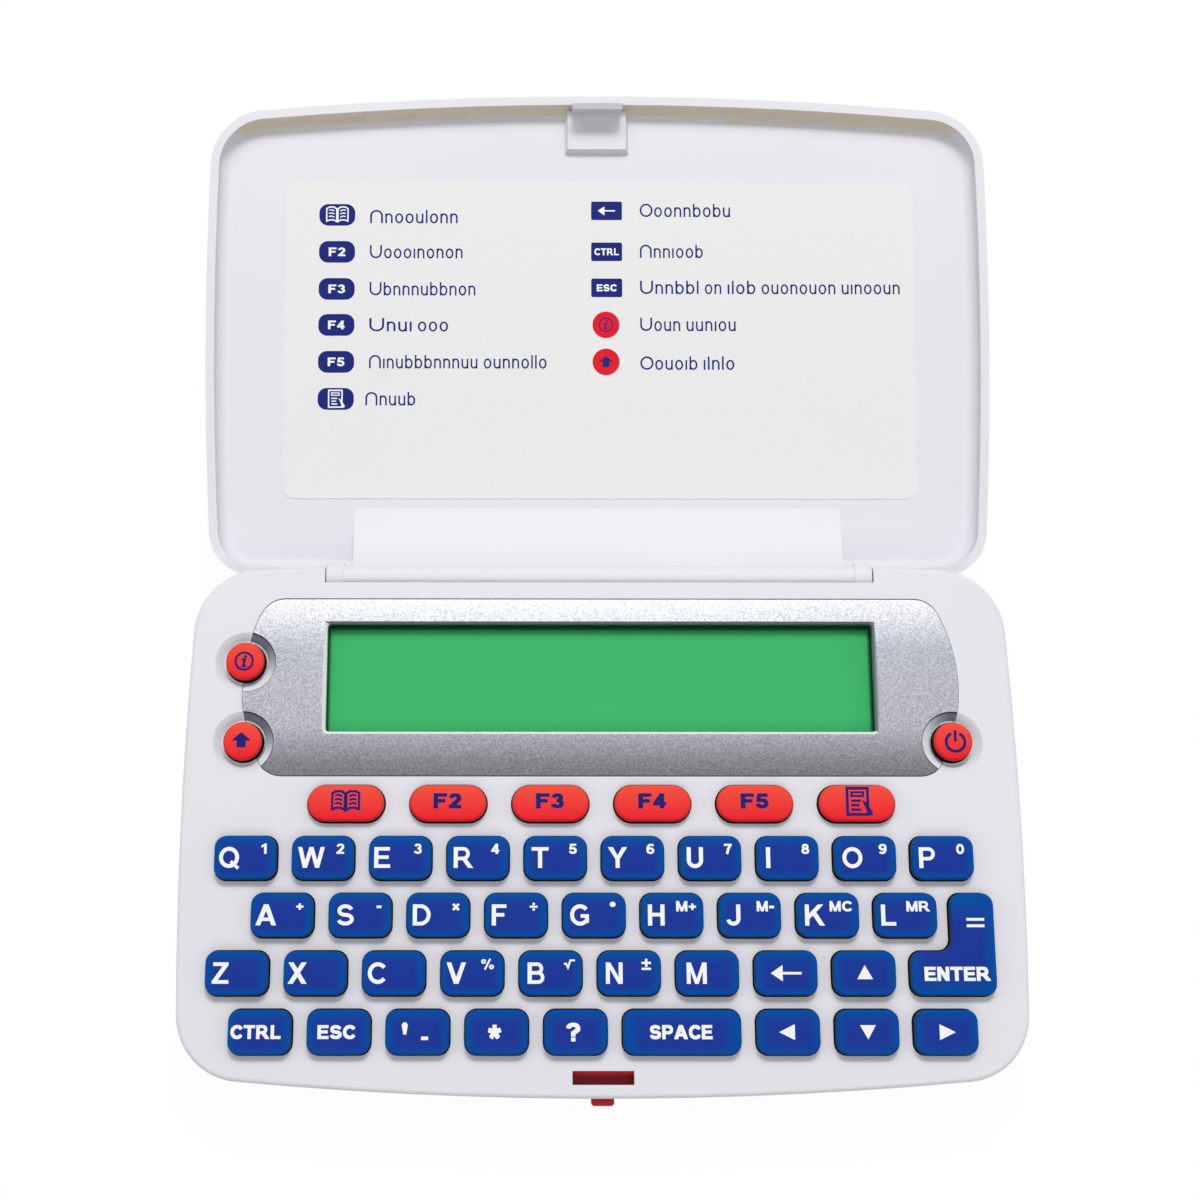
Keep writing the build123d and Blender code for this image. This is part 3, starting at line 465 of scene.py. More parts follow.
# 065C2A is the painted shadow round the edge of the film, cast by the bezel's opening.
film = add_node(
    tree,
    "ShaderNodeMix",
    {
        "Factor": inside,
        6: srgb("#065C2A"),
        7: add_node(
            tree,
            "ShaderNodeMix",
            {
                "Factor": add_node(
                    tree, "ShaderNodeTexNoise", {"Vector": (place, "Object"), "Scale": 120.0}
                ),
                6: srgb("#47C977"),
                7: srgb("#49CC79"),
            },
            data_type="RGBA",
        ),
    },
    data_type="RGBA",
)
shader = add_node(
    tree,
    "ShaderNodeBsdfPrincipled",
    {"Base Color": film, "Roughness": 0.5, "Specular IOR Level": 0.1},
)
add_node(tree, "ShaderNodeOutputMaterial", {"Surface": shader})
dress("lcd_panel", green_polariser)

# Cast acrylic sheet, polished: clear, with a faint reflection and hardly any colour of its own.
clear_acrylic, tree, place = new_material("clear_cast_acrylic")
ripple = add_node(
    tree,
    "ShaderNodeBump",
    {
        "Height": add_node(
            tree, "ShaderNodeTexNoise", {"Vector": (place, "Object"), "Scale": 60.0}
        ),
        "Strength": 0.05,
        "Distance": 0.00005,
    },
)
shader = add_node(
    tree,
    "ShaderNodeBsdfPrincipled",
    {
        "Base Color": srgb("#0A0F0C"),
        "Roughness": 0.04,
        "IOR": 1.49,
        "Alpha": 0.06,
        "Normal": ripple,
    },
)
add_node(tree, "ShaderNodeOutputMaterial", {"Surface": shader})
dress("display_window", clear_acrylic)

# ---- Bezel ----
# A thin ABS plate round the display, sprayed with coarse silver metallic paint and glued into a
# pocket of the case. Its face is very slightly crowned from front to rear.
bezel_low, bezel_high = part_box("display_bezel")
flake_size = 0.00018  # real flakes are about 0.1 mm, drawn larger so that they show
reflection_front = 0.002  # the painted reflection's change of tone starts this far before the plate
reflection_rear = 0.001  # and ends this far behind it
edge_line_width = 0.00032  # width of the painted highlight and shade line round the opening
case_top = 0.0180
shadow_line_width = 0.00016  # of the painted shadow line round the plate
shadow_line_lap = 0.00002  # how far it reaches onto the plate
shadow_line_lift = 0.00001  # above the case

# Silver metallic lacquer: aluminium flakes that lie at slightly different angles. Its colour is
# painted lighter towards the rear and darker towards the front, as a painted reflection of the soft
# box over the crowned face, and each grain is painted lighter or darker than the next as the glint
# of its flake.
silver_lacquer, tree, place = new_material("silver_metallic_lacquer")
at = add_node(tree, "ShaderNodeSeparateXYZ", {"Vector": (place, "Object")})
facing = add_node(tree, "ShaderNodeSeparateXYZ", {"Vector": (place, "Normal")})
grains = {"Vector": (place, "Object"), "Scale": 1 / flake_size, "Randomness": 1.0}
flakes = add_node(tree, "ShaderNodeTexVoronoi", grains)
flake = add_node(tree, "ShaderNodeSeparateColor", {"Color": (flakes, "Color")})
painted_reflection = add_node(
    tree,
    "ShaderNodeMapRange",
    {
        "Value": (at, "Y"),
        "From Min": bezel_low.y - reflection_front,
        "From Max": bezel_high.y + reflection_rear,
    },
)
# Painted reflection: a ramp of tones from dark at the front of the plate to white at its rear.
painted_reflection_colour = add_node(tree, "ShaderNodeValToRGB", {"Fac": painted_reflection})
tones = painted_reflection_colour.color_ramp.elements
tones[0].color, tones[1].color = srgb("#92939A"), srgb("#FFFFFF")
for spot, code in (
    (0.13, "#ABADB4"),
    (0.31, "#E0E1E9"),
    (0.5, "#DADBE3"),
    (0.7, "#CCCFD8"),
    (0.9, "#EEF0F5"),
):
    tones.new(spot).color = srgb(code)
# Painted glint: each flake's colour is scaled up or down.
painted_flake_glint = add_node(
    tree, "ShaderNodeMapRange", {"Value": (flake, "Red"), "To Min": 0.72, "To Max": 1.28}
)
flake_colour = add_node(
    tree,
    "ShaderNodeMix",
    {"Factor": 1.0, 6: (painted_reflection_colour, "Color"), 7: painted_flake_glint},
    data_type="RGBA",
    blend_type="MULTIPLY",
)

# Slopes catch little of the flakes' shine: they are painted with plain light and shade instead,
# pale to the left and front and dark to the right and rear. So is a thin line round the opening,
# painted as highlight on its left and front half and as shade on its right and rear half.
past_sides, shares = [], []
for axis, middle, half in zip("XY", view_middle, view_half):
    aside = add_node(tree, "ShaderNodeMath", {0: (at, axis), 1: middle}, operation="SUBTRACT")
    past_sides.append(
        add_node(
            tree,
            "ShaderNodeMath",
            {0: add_node(tree, "ShaderNodeMath", {0: aside}, operation="ABSOLUTE"), 1: half},
            operation="SUBTRACT",
        ),
    )
    shares.append(add_node(tree, "ShaderNodeMath", {0: aside, 1: half}, operation="DIVIDE"))
beyond = add_node(tree, "ShaderNodeMath", dict(enumerate(past_sides)), operation="MAXIMUM")
corner_to_corner = add_node(tree, "ShaderNodeMath", dict(enumerate(shares)), operation="ADD")
edge_line = add_node(tree, "ShaderNodeMath", {0: beyond, 1: edge_line_width}, operation="LESS_THAN")
slope = add_node(
    tree, "ShaderNodeMapRange", {"Value": (facing, "Z"), "From Min": 0.97, "From Max": 0.93}
)
leaning = add_node(
    tree,
    "ShaderNodeMath",
    {
        0: (facing, "Y"),
        1: add_node(tree, "ShaderNodeMath", {0: (facing, "X"), 1: 0.5}, operation="MULTIPLY"),
    },
    operation="ADD",
)
lit_side_of_edge_line = add_node(tree, "ShaderNodeMath", {0: corner_to_corner, 1: 0.0}, operation="LESS_THAN")
pale_inputs = {
    "Factor": edge_line,
    "A": add_node(
        tree, "ShaderNodeMapRange", {"Value": leaning, "From Min": -0.55, "From Max": 0.05}
    ),
    "B": lit_side_of_edge_line,
}
# Painted highlight and shade: how pale the plain paint is, from which way a face leans, or from the
# side of the opening.
pale = add_node(tree, "ShaderNodeMix", pale_inputs, data_type="FLOAT")
plain = add_node(tree, "ShaderNodeMath", {0: edge_line, 1: slope}, operation="MAXIMUM")
painted_shade_colour = add_node(
    tree,
    "ShaderNodeMix",
    {"Factor": pale, 6: srgb("#777C88"), 7: srgb("#F1EFF6")},
    data_type="RGBA",
)
shine = add_node(
    tree,
    "ShaderNodeMath",
    {0: add_node(tree, "ShaderNodeMath", {0: 1.0, 1: plain}, operation="SUBTRACT"), 1: 0.75},
    operation="MULTIPLY",
)
tilt = add_node(
    tree, "ShaderNodeBump", {"Height": (flake, "Green"), "Strength": 0.15, "Distance": 0.00004}
)
paint = add_node(
    tree, "ShaderNodeMix", {"Factor": plain, 6: flake_colour, 7: painted_shade_colour}, data_type="RGBA"
)
shader = add_node(
    tree,
    "ShaderNodeBsdfPrincipled",
    {"Base Color": paint, "Roughness": 0.42, "Metallic": shine, "Normal": tilt},
)
add_node(tree, "ShaderNodeOutputMaterial", {"Surface": shader})
dress("display_bezel", silver_lacquer)

# Painted shadow: a dark grey satin strip, slightly uneven, that stands for the shadow in the gap
# round the plate. It lies flush with the case and follows the upper outer edges of the plate.
shadow_line_black, tree, place = new_material("painted_gap_shadow")
shader = add_node(
    tree,
    "ShaderNodeBsdfPrincipled",
    {"Base Color": srgb("#3C4046"), "Roughness": uneven(tree, place, 1200.0, 0.45, 0.65)},
)
add_node(tree, "ShaderNodeOutputMaterial", {"Surface": shader})
bezel = welded("display_bezel")
rim_edges, leans = [], {}
window_half = (view_high - view_low) / 2
for edge in bezel.edges:
    walls = [face for face in edge.link_faces if abs(face.normal.z) < 0.1]
    tops = [face for face in edge.link_faces if face.normal.z > 0.9]
    if not walls or not tops or min(vert.co.z for vert in edge.verts) < case_top - shadow_line_lift:
        continue
    middle = (edge.verts[0].co + edge.verts[1].co) / 2 - view_middle
    if abs(middle.x) < window_half.x and abs(middle.y) < window_half.y:
        continue
    rim_edges.append(edge)
    for vert in edge.verts:
        leans.setdefault(vert, []).append(walls[0].normal)
shadow_line = bmesh.new()
rims = {}
for vert, normals in leans.items():
    outward = sum(normals, Vector())
    outward.z = 0.0
    outward.normalize()
    foot = Vector((vert.co.x, vert.co.y, case_top + shadow_line_lift))
    rims[vert] = [shadow_line.verts.new(foot + outward * reach) for reach in (-shadow_line_lap, shadow_line_width)]
for edge in rim_edges:
    (a, b), (c, d) = (rims[vert] for vert in edge.verts)
    face = shadow_line.faces.new([a, b, d, c])
    face.normal_update()
    if face.normal.z < 0:
        face.normal_flip()
bezel.free()
shadow_line_mesh = bpy.data.meshes.new("bezel_gap_shadow")
bezel_shadow_line = new_piece("bezel_gap_shadow", shadow_line_mesh, shadow_line_black)
shadow_line.to_mesh(shadow_line_mesh)
shadow_line.free()
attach(bezel_shadow_line, "base")

# ---- Keys ----
# Forty-seven separate caps stand through the case, each held under it by a thin flange. The blue
# ones are hard ABS with white pad-printed legends, the red ones soft rubber with navy legends.
flange_lap = 0.0007  # how far the flange stands out from the cap's side
flange_thickness = 0.0010
key_corner = 0.0019  # corner radius in plan
key_edge = 0.00035  # rounding round the top
rubber_edge = 0.00055  # and round the top of a rubber key
rubber_top = 0.0199  # the tops of the rubber keys lie below this, the others above
full_round = 0.999  # corner radius of a rubber key, as a share of its half width
enter_neck = 0.0071  # width of the upper part of the enter key
enter_foot = 0.0071  # depth of its lower part
print_lift = 0.000015  # ink above the surface
weld = 0.000002  # points nearer than this are one
crease = 40  # degrees, between faces that aren't shaded as one

cap_tree, given = new_tree(
    "moulded_key_cap",
    ("Corner Radius", "Top Height", "Edge Radius", "Flange Lap", "Flange Top", "Flange Bottom"),
    ("Centre", "Half Size"),
)
tree = cap_tree
corners = add_node(tree, "GeometryNodeMeshToCurve", {"Mesh": (given, "Geometry")})
rounding = {"Curve": (corners, "Curve"), "Count": 7, "Radius": (given, "Corner Radius")}
rounded = add_node(tree, "GeometryNodeFilletCurve", rounding, mode="POLY")
flat = {"Curve": (rounded, "Curve")}
outline = add_node(tree, "GeometryNodeSetCurveNormal", flat, mode="Z_UP")
normal = add_node(tree, "GeometryNodeInputNormal")
edge_bottom = add_node(
    tree,
    "ShaderNodeMath",
    {0: (given, "Top Height"), 1: (given, "Edge Radius")},
    operation="SUBTRACT",
)
edge_inside = add_node(
    tree, "ShaderNodeMath", {0: (given, "Edge Radius"), 1: -1.0}, operation="MULTIPLY"
)
profile = [
    add_node(tree, "ShaderNodeCombineXYZ", dict(zip("XY", point)))
    for point in (
        ((given, "Flange Lap"), (given, "Flange Bottom")),
        ((given, "Flange Lap"), (given, "Flange Top")),
        (0.0, (given, "Flange Top")),
        (0.0, edge_bottom),
    )
]
sides = [
    add_node(tree, "GeometryNodeCurvePrimitiveLine", {"Start": start, "End": end})
    for start, end in zip(profile, profile[1:])
]
arc = {"Radius": (given, "Edge Radius"), "Start Angle": 0.0, "Sweep Angle": math.radians(90)}
quarter = add_node(tree, "GeometryNodeCurveArc", {"Resolution": 6, **arc})
sides.append(
    add_node(
        tree,
        "GeometryNodeTransform",
        {
            "Geometry": (quarter, "Curve"),
            "Translation": add_node(
                tree, "ShaderNodeCombineXYZ", {"X": edge_inside, "Y": edge_bottom}
            ),
        },
    ),
)
# a profile's y runs down from a curve that lies flat
turned = {"Geometry": add_node(tree, "GeometryNodeJoinGeometry", {0: sides}), "Scale": (1, -1, 1)}
upright = add_node(tree, "GeometryNodeTransform", turned)
lofting = {"Curve": (outline, "Curve"), "Profile Curve": upright}
walls = add_node(tree, "GeometryNodeCurveToMesh", lofting)
lids = []
for grow, height in (
    (edge_inside, (given, "Top Height")),
    ((given, "Flange Lap"), (given, "Flange Bottom")),
):
    scaling = {0: normal, "Scale": grow}
    outward = add_node(tree, "ShaderNodeVectorMath", scaling, operation="SCALE")
    wider = {"Geometry": (outline, "Curve"), "Offset": outward}
    curve = add_node(tree, "GeometryNodeSetPosition", wider)
    filled = add_node(tree, "GeometryNodeFillCurve", {"Curve": curve}, mode="NGONS")
    lids.append(
        add_node(
            tree,
            "GeometryNodeTransform",
            {
                "Geometry": filled,
                "Translation": add_node(tree, "ShaderNodeCombineXYZ", {"Z": height}),
            },
        ),
    )
outer_walls, underside = (
    add_node(tree, "GeometryNodeFlipFaces", {"Mesh": mesh}) for mesh in (walls, lids[1])
)
shell = add_node(tree, "GeometryNodeJoinGeometry", {0: [outer_walls, lids[0], underside]})
sewn = add_node(tree, "GeometryNodeMergeByDistance", {"Geometry": shell, "Distance": weld})
position = add_node(tree, "GeometryNodeInputPosition")
ends = {0: position, 1: (given, "Centre")}
from_centre = add_node(tree, "ShaderNodeVectorMath", ends, operation="SUBTRACT")
halves = {0: from_centre, 1: (given, "Half Size")}
share = add_node(tree, "ShaderNodeVectorMath", halves, operation="DIVIDE")
note = {"Geometry": sewn, "Name": "across_cap", "Value": share}
marked = add_node(
    tree, "GeometryNodeStoreNamedAttribute", note, data_type="FLOAT_VECTOR", domain="POINT"
)
finish_tree(tree, given, marked)


def across_cap(tree):
    """Where a point of a cap lies: from -1 to 1 sideways and forwards, and 0 at the top."""
    stored = add_node(tree, "ShaderNodeAttribute", attribute_name="across_cap")
    return add_node(tree, "ShaderNodeSeparateXYZ", {"Vector": (stored, "Vector")})


# Hard blue ABS, satin from the tool. The sides of a cap are painted near-black as the shade round
# them, and its blue top is painted more violet in the middle and purer and lighter towards its
# rounded edges, as a painted sheen where they catch the light.
satin_blue_abs, tree, place = new_material("satin_blue_abs")
at = across_cap(tree)
from_rear, from_front, from_side = (
    add_node(
        tree,
        "ShaderNodeMapRange",
        {"Value": value, "From Min": low, "From Max": high},
        interpolation_type="SMOOTHSTEP",
    )
    for value, low, high in (
        ((at, "Y"), 1.0, 0.35),
        ((at, "Y"), -1.05, -0.5),
        (add_node(tree, "ShaderNodeMath", {0: (at, "X")}, operation="ABSOLUTE"), 1.0, 0.6),
    )
)
middle_without_sheen = add_node(
    tree,
    "ShaderNodeMath",
    {
        0: add_node(tree, "ShaderNodeMath", {0: from_rear, 1: from_front}, operation="MINIMUM"),
        1: from_side,
    },
    operation="MINIMUM",
)
blue_top = add_node(
    tree,
    "ShaderNodeMix",
    {"Factor": middle_without_sheen, 6: srgb("#004E9F"), 7: srgb("#1D3896")},
    data_type="RGBA",
)
# Painted shade: below the rounding of the top the cap is near-black.
blue = add_node(
    tree,
    "ShaderNodeMix",
    {
        "Factor": add_node(
            tree, "ShaderNodeMapRange", {"Value": (at, "Z"), "From Min": -1.15, "From Max": -0.85}
        ),
        6: srgb("#0A0F2A"),
        7: blue_top,
    },
    data_type="RGBA",
)
satin = add_node(
    tree,
    "ShaderNodeBump",
    {
        "Height": add_node(
            tree, "ShaderNodeTexNoise", {"Vector": (place, "Object"), "Scale": 3500.0}
        ),
        "Strength": 0.1,
        "Distance": 0.00002,
    },
)
shader = add_node(
    tree,
    "ShaderNodeBsdfPrincipled",
    {"Base Color": blue, "Roughness": 0.42, "Specular IOR Level": 0.06, "Normal": satin},
)
add_node(tree, "ShaderNodeOutputMaterial", {"Surface": shader})

# Red silicone rubber, compression moulded: soft looking and matt. Its sides are painted near-black
# as the shade round them, and its top is painted warmer and lighter towards the rear, where the
# light falls, with a random mottle.
red_silicone, tree, place = new_material("red_silicone_rubber")
at = across_cap(tree)
dust = add_node(
    tree, "ShaderNodeTexNoise", {"Vector": (place, "Object"), "Scale": 2500.0, "Detail": 3.0}
)
rear_light_and_mottle = add_node(
    tree,
    "ShaderNodeMath",
    {0: (at, "Y"), 1: add_node(tree, "ShaderNodeMath", {0: dust, 1: 0.5}, operation="MULTIPLY")},
    operation="ADD",
)
red_top = add_node(
    tree,
    "ShaderNodeMix",
    {
        "Factor": add_node(
            tree, "ShaderNodeMapRange", {"Value": rear_light_and_mottle, "From Min": -0.8, "From Max": 1.2}
        ),
        6: srgb("#EC1A2E"),
        7: srgb("#F2503F"),
    },
    data_type="RGBA",
)
# Painted shade: lower down its sides the cap is near-black.
red = add_node(
    tree,
    "ShaderNodeMix",
    {
        "Factor": add_node(
            tree, "ShaderNodeMapRange", {"Value": (at, "Z"), "From Min": -1.9, "From Max": -1.45}
        ),
        6: srgb("#1E070B"),
        7: red_top,
    },
    data_type="RGBA",
)
shader = add_node(
    tree,
    "ShaderNodeBsdfPrincipled",
    {
        "Base Color": red,
        "Roughness": 0.55,
        "Specular IOR Level": 0.1,
        "Normal": add_node(
            tree, "ShaderNodeBump", {"Height": dust, "Strength": 0.2, "Distance": 0.00003}
        ),
    },
)
add_node(tree, "ShaderNodeOutputMaterial", {"Surface": shader})


def new_ink(name, code, roughness):
    """Screen or pad printing ink: an even film, very slightly mottled."""
    ink, tree, place = new_material(name)
    gloss = uneven(tree, place, 2000.0, roughness - 0.06, roughness + 0.06)
    shader = add_node(
        tree,
        "ShaderNodeBsdfPrincipled",
        {"Base Color": srgb(code), "Roughness": gloss, "Specular IOR Level": 0.12},
    )
    add_node(tree, "ShaderNodeOutputMaterial", {"Surface": shader})
    return ink


# Two-part pad-printing inks: opaque white on the blue caps and navy on the red ones.
white_ink = new_ink("white_pad_print", "#F4F5F8", 0.4)
navy_ink = new_ink("navy_pad_print", "#1C2272", 0.45)


def right_side(shapes):
    """How far shapes reach to the right."""
    return max(x for shape in shapes for x, y in shape)


def fit_width(shapes, width):
    """The same shapes stretched sideways to this width."""
    now = right_side(shapes)
    return [[(x * width / now, y) for x, y in shape] for shape in shapes]


def move_shapes(shapes, x, y):
    """The same shapes, moved."""
    return [[(u + x, v + y) for u, v in shape] for shape in shapes]


def scaled(shapes, factor):
    """The same shapes at another size."""
    return [[(x * factor, y * factor) for x, y in shape] for shape in shapes]


def bolder(shapes, grow):
    """The same shapes with strokes that are thicker all round."""
    return [
        shape for x in (-grow, grow) for y in (-grow, grow) for shape in move_shapes(shapes, x, y)
    ]


def band(points, width, close=False):
    """Quads of a stroke of this width along a line of points, with mitred corners."""
    sharpest_mitre = 0.35
    points = [Vector(point) for point in points]
    count = len(points)
    sides = []
    for i, here in enumerate(points):
        ways = []
        if i or close:
            ways.append((here - points[i - 1]).normalized())
        if i < count - 1 or close:
            ways.append((points[(i + 1) % count] - here).normalized())
        along = sum(ways, Vector((0, 0))).normalized()
        across = Vector((-along.y, along.x))
        turn = across.dot(Vector((-ways[0].y, ways[0].x)))
        reach = width / 2 / max(sharpest_mitre, turn)
        sides.append((here + across * reach, here - across * reach))
    quads = []
    for i in range(count if close else count - 1):
        (a, b), (c, d) = sides[i], sides[(i + 1) % count]
        quads.append([tuple(b), tuple(d), tuple(c), tuple(a)])
    return quads


def arc_points(x, y, radius, start=0, end=360, steps=32, height=None):
    """Points round a circle, or an ellipse of this half height, from start to end in degrees."""
    points = []
    for i in range(steps + (end - start != 360)):
        angle = math.radians(start + (end - start) * i / steps)
        points.append((x + radius * math.cos(angle), y + (height or radius) * math.sin(angle)))
    return points


def round_box(x, y, width, height, radius, steps=6):
    """One polygon: a rectangle with rounded corners about its middle."""
    points = []
    for side, end, start in ((1, 1, 0), (-1, 1, 90), (-1, -1, 180), (1, -1, 270)):
        corner = (x + side * (width / 2 - radius), y + end * (height / 2 - radius))
        points += arc_points(*corner, radius, start, start + 90, steps)
    return points


def bar(left, right, foot, top):
    """A rectangle."""
    return [[(left, foot), (right, foot), (right, top), (left, top)]]


def leg(foot, top, width):
    """A slanting stroke from the foot of a capital to its top, given by its left corners."""
    return [[(foot, 0), (foot + width, 0), (top + width, 1), (top, 1)]]


def bend(x, y, radius, height, weight, start=0, end=360):
    """A stroke along an ellipse, or along part of it, given by its middle line."""
    return band(arc_points(x, y, radius, start, end, 28, height), weight, end - start == 360)


# Bold sans capitals and figures, one unit high from the foot: strokes that overlap are joined
# when they are printed.
stem = bar(0, 0.2, 0, 1)
loop_p = bar(0, 0.46, 0.835, 1) + bar(0, 0.46, 0.37, 0.535)
loop_p += bend(0.46, 0.685, 0.23, 0.2325, 0.166, -90, 90)
ring_o = bend(0.485, 0.5, 0.39, 0.414, 0.186)
hook_6 = bend(0.335, 0.315, 0.25, 0.232, 0.166) + bend(0.4, 0.47, 0.315, 0.448, 0.166, 52, 185)
question_bow = arc_points(0.34, 0.7, 0.245, 172, -22, 20, 0.215) + [(0.34, 0.44), (0.34, 0.27)]
glyphs = {
    "A": leg(0, 0.385, 0.23) + leg(0.77, 0.385, 0.23) + bar(0.2, 0.8, 0.21, 0.37),
    "B": stem
    + bar(0, 0.47, 0.835, 1)
    + bar(0, 0.5, 0.43, 0.595)
    + bar(0, 0.5, 0, 0.165)
    + bend(0.46, 0.7175, 0.2, 0.2, 0.166, -90, 90)
    + bend(0.5, 0.2975, 0.217, 0.215, 0.166, -90, 90),
    "C": bend(0.475, 0.5, 0.385, 0.414, 0.186, 38, 322),
    "D": stem
    + bar(0, 0.37, 0.83, 1)
    + bar(0, 0.37, 0, 0.17)
    + bend(0.37, 0.5, 0.395, 0.415, 0.18, -90, 90),
    "E": stem + bar(0, 0.75, 0.83, 1) + bar(0, 0.7, 0.43, 0.595) + bar(0, 0.77, 0, 0.17),
    "F": stem + bar(0, 0.7, 0.83, 1) + bar(0, 0.6, 0.42, 0.59),
    "G": bend(0.475, 0.5, 0.385, 0.414, 0.186, 40, 318)
    + bar(0.5, 0.9, 0.37, 0.535)
    + bar(0.72, 0.9, 0.12, 0.5),
    "H": stem + bar(0.6, 0.8, 0, 1) + bar(0, 0.8, 0.43, 0.605),
    "I": stem,
    "J": bar(0.48, 0.68, 0.3, 1) + bend(0.337, 0.31, 0.243, 0.222, 0.182, -172, 0),
    "K": stem
    + [[(0.1, 0.2), (0.9, 1), (0.63, 1), (0.1, 0.47)]]
    + [[(0.7, 0), (0.95, 0), (0.5, 0.7), (0.34, 0.54)]],
    "L": stem + bar(0, 0.71, 0, 0.17),
    "M": bar(0, 0.19, 0, 1)
    + bar(0.77, 0.96, 0, 1)
    + leg(0.395, 0.04, 0.17)
    + leg(0.395, 0.75, 0.17),
    "N": bar(0, 0.19, 0, 1) + bar(0.61, 0.8, 0, 1) + leg(0.59, 0, 0.21),
    "O": ring_o,
    "P": stem + loop_p,
    "Q": ring_o + [[(0.52, 0.26), (0.62, 0.37), (0.99, 0.03), (0.89, -0.09)]],
    "R": stem + loop_p + [[(0.7, 0), (0.95, 0), (0.6, 0.46), (0.36, 0.46)]],
    "S": bend(0.41, 0.705, 0.29, 0.207, 0.18, 14, 270)
    + bend(0.41, 0.295, 0.32, 0.207, 0.18, -166, 90),
    "T": bar(0, 0.82, 0.83, 1) + bar(0.31, 0.51, 0, 1),
    "U": bar(0, 0.2, 0.35, 1)
    + bar(0.59, 0.79, 0.35, 1)
    + bend(0.395, 0.36, 0.296, 0.27, 0.188, 180, 360),
    "V": leg(0.355, 0, 0.22) + leg(0.355, 0.71, 0.22),
    "W": leg(0.25, 0, 0.2) + leg(0.25, 0.545, 0.2) + leg(0.84, 0.545, 0.2) + leg(0.84, 1.09, 0.2),
    "X": leg(0, 0.65, 0.25) + leg(0.67, 0.02, 0.25),
    "Y": bar(0.365, 0.565, 0, 0.46)
    + [[(0.365, 0.42), (0.565, 0.42), (0.24, 1), (0, 1)]]
    + [[(0.365, 0.42), (0.565, 0.42), (0.93, 1), (0.69, 1)]],
    "Z": bar(0.04, 0.77, 0.83, 1)
    + bar(0, 0.79, 0, 0.17)
    + [[(0, 0.13), (0.25, 0.13), (0.77, 0.87), (0.52, 0.87)]],
    "0": bend(0.335, 0.5, 0.25, 0.416, 0.17),
    "1": bar(0.24, 0.43, 0, 1) + [[(0, 0.64), (0.28, 0.78), (0.3, 1), (0, 0.82)]],
    "2": band(arc_points(0.335, 0.69, 0.235, 168, -32, 20, 0.225) + [(0.16, 0.13)], 0.175)
    + bar(0.01, 0.66, 0, 0.17),
    "3": bend(0.32, 0.715, 0.215, 0.2, 0.166, -90, 160)
    + bend(0.32, 0.3, 0.25, 0.216, 0.166, -165, 90),
    "4": bar(0.39, 0.58, 0, 1) + bar(0, 0.69, 0.21, 0.37) + band([(0.09, 0.3), (0.45, 0.92)], 0.16),
    "5": bar(0.12, 0.62, 0.83, 1)
    + [[(0.03, 0.46), (0.19, 0.46), (0.27, 1), (0.11, 1)]]
    + bend(0.33, 0.325, 0.25, 0.24, 0.17, -165, 128),
    "6": hook_6,
    "7": bar(0, 0.66, 0.83, 1) + band([(0.58, 0.9), (0.36, 0.5), (0.26, 0)], 0.18),
    "8": bend(0.335, 0.727, 0.2, 0.19, 0.166) + bend(0.335, 0.3, 0.25, 0.216, 0.166),
    "9": [[(0.67 - x, 1 - y) for x, y in shape] for shape in hook_6],
    "+": bar(0, 0.62, 0.36, 0.53) + bar(0.225, 0.395, 0.14, 0.75),
    "-": bar(0, 0.4, 0.31, 0.53),
    "x": band([(0.06, 0.12), (0.54, 0.7)], 0.17) + band([(0.06, 0.7), (0.54, 0.12)], 0.17),
    "/": bar(0, 0.66, 0.36, 0.52) + [arc_points(0.33, y, 0.1, steps=16) for y in (0.16, 0.72)],
    ".": [arc_points(0.24, 0.68, 0.24, steps=20)],
    "%": bend(0.2, 0.77, 0.14, 0.16, 0.11)
    + bend(0.9, 0.23, 0.14, 0.16, 0.11)
    + band([(0.32, -0.02), (0.78, 1.02)], 0.12),
    "#": bar(0, 0.8, 0.54, 0.72) + bar(0.31, 0.49, 0.25, 1.02) + bar(0, 0.8, -0.05, 0.13),
    "?": band(question_bow, 0.18) + bar(0.25, 0.43, 0, 0.175),
    "*": [
        quad
        for tip in arc_points(0.4, 0.5, 0.36, 90, 450, 5)
        for quad in band([(0.4, 0.5), tip], 0.2)
    ],
}
letter_gap = 0.15  # between two letters, as a share of their height


def word_shapes(text, cap):
    """Shapes of a word, cap high, from x = 0, with the capitals' middle at y = 0."""
    shapes, start = [], 0.0
    for letter in text:
        glyph = glyphs[letter]
        shapes += [[((x + start) * cap, (y - 0.5) * cap) for x, y in shape] for shape in glyph]
        start += right_side(glyph) + letter_gap
    return shapes


def wide_word(text, cap, width, grow):
    """The same in bolder strokes, and stretched to this width."""
    return bolder(fit_width(word_shapes(text, cap), width), grow)


# Marks drawn as shapes, in millimetres about their own middle.
arrow_left = [[(-2.55, 0), (-0.6, 1.3), (-0.6, -1.3)]] + bar(-0.9, 2.45, -0.2, 0.2)
triangle_up = [[(-1.28, -0.95), (1.28, -0.95), (0, 1.3)]]
triangle_down = [[(-1.28, 1.1), (0, -1.15), (1.28, 1.1)]]
triangle_left = [[(-1.6, 0), (0.95, -1.25), (0.95, 1.25)]]
triangle_right = [[(1.4, 0), (-1.2, 1.25), (-1.2, -1.25)]]
equals = bar(-1.45, 1.45, -0.74, -0.3) + bar(-1.45, 1.45, 0.3, 0.74)
quote = [[(-2.25, -0.4), (-1.8, -0.4), (-1.55, 1.1), (-1.8, 1.5), (-2.3, 1.5), (-2.55, 1.1)]]
quote += bar(0.6, 1.75, -1.25, -0.7)
root = band([(-0.75, 0), (-0.4, 0.1), (-0.1, -0.55), (0.3, 0.62), (1.05, 0.62)], 0.3)
power = band(arc_points(0, 0, 1.42, 118, 422, 30), 0.34) + band([(0, 0.1), (0, 1.75)], 0.34)
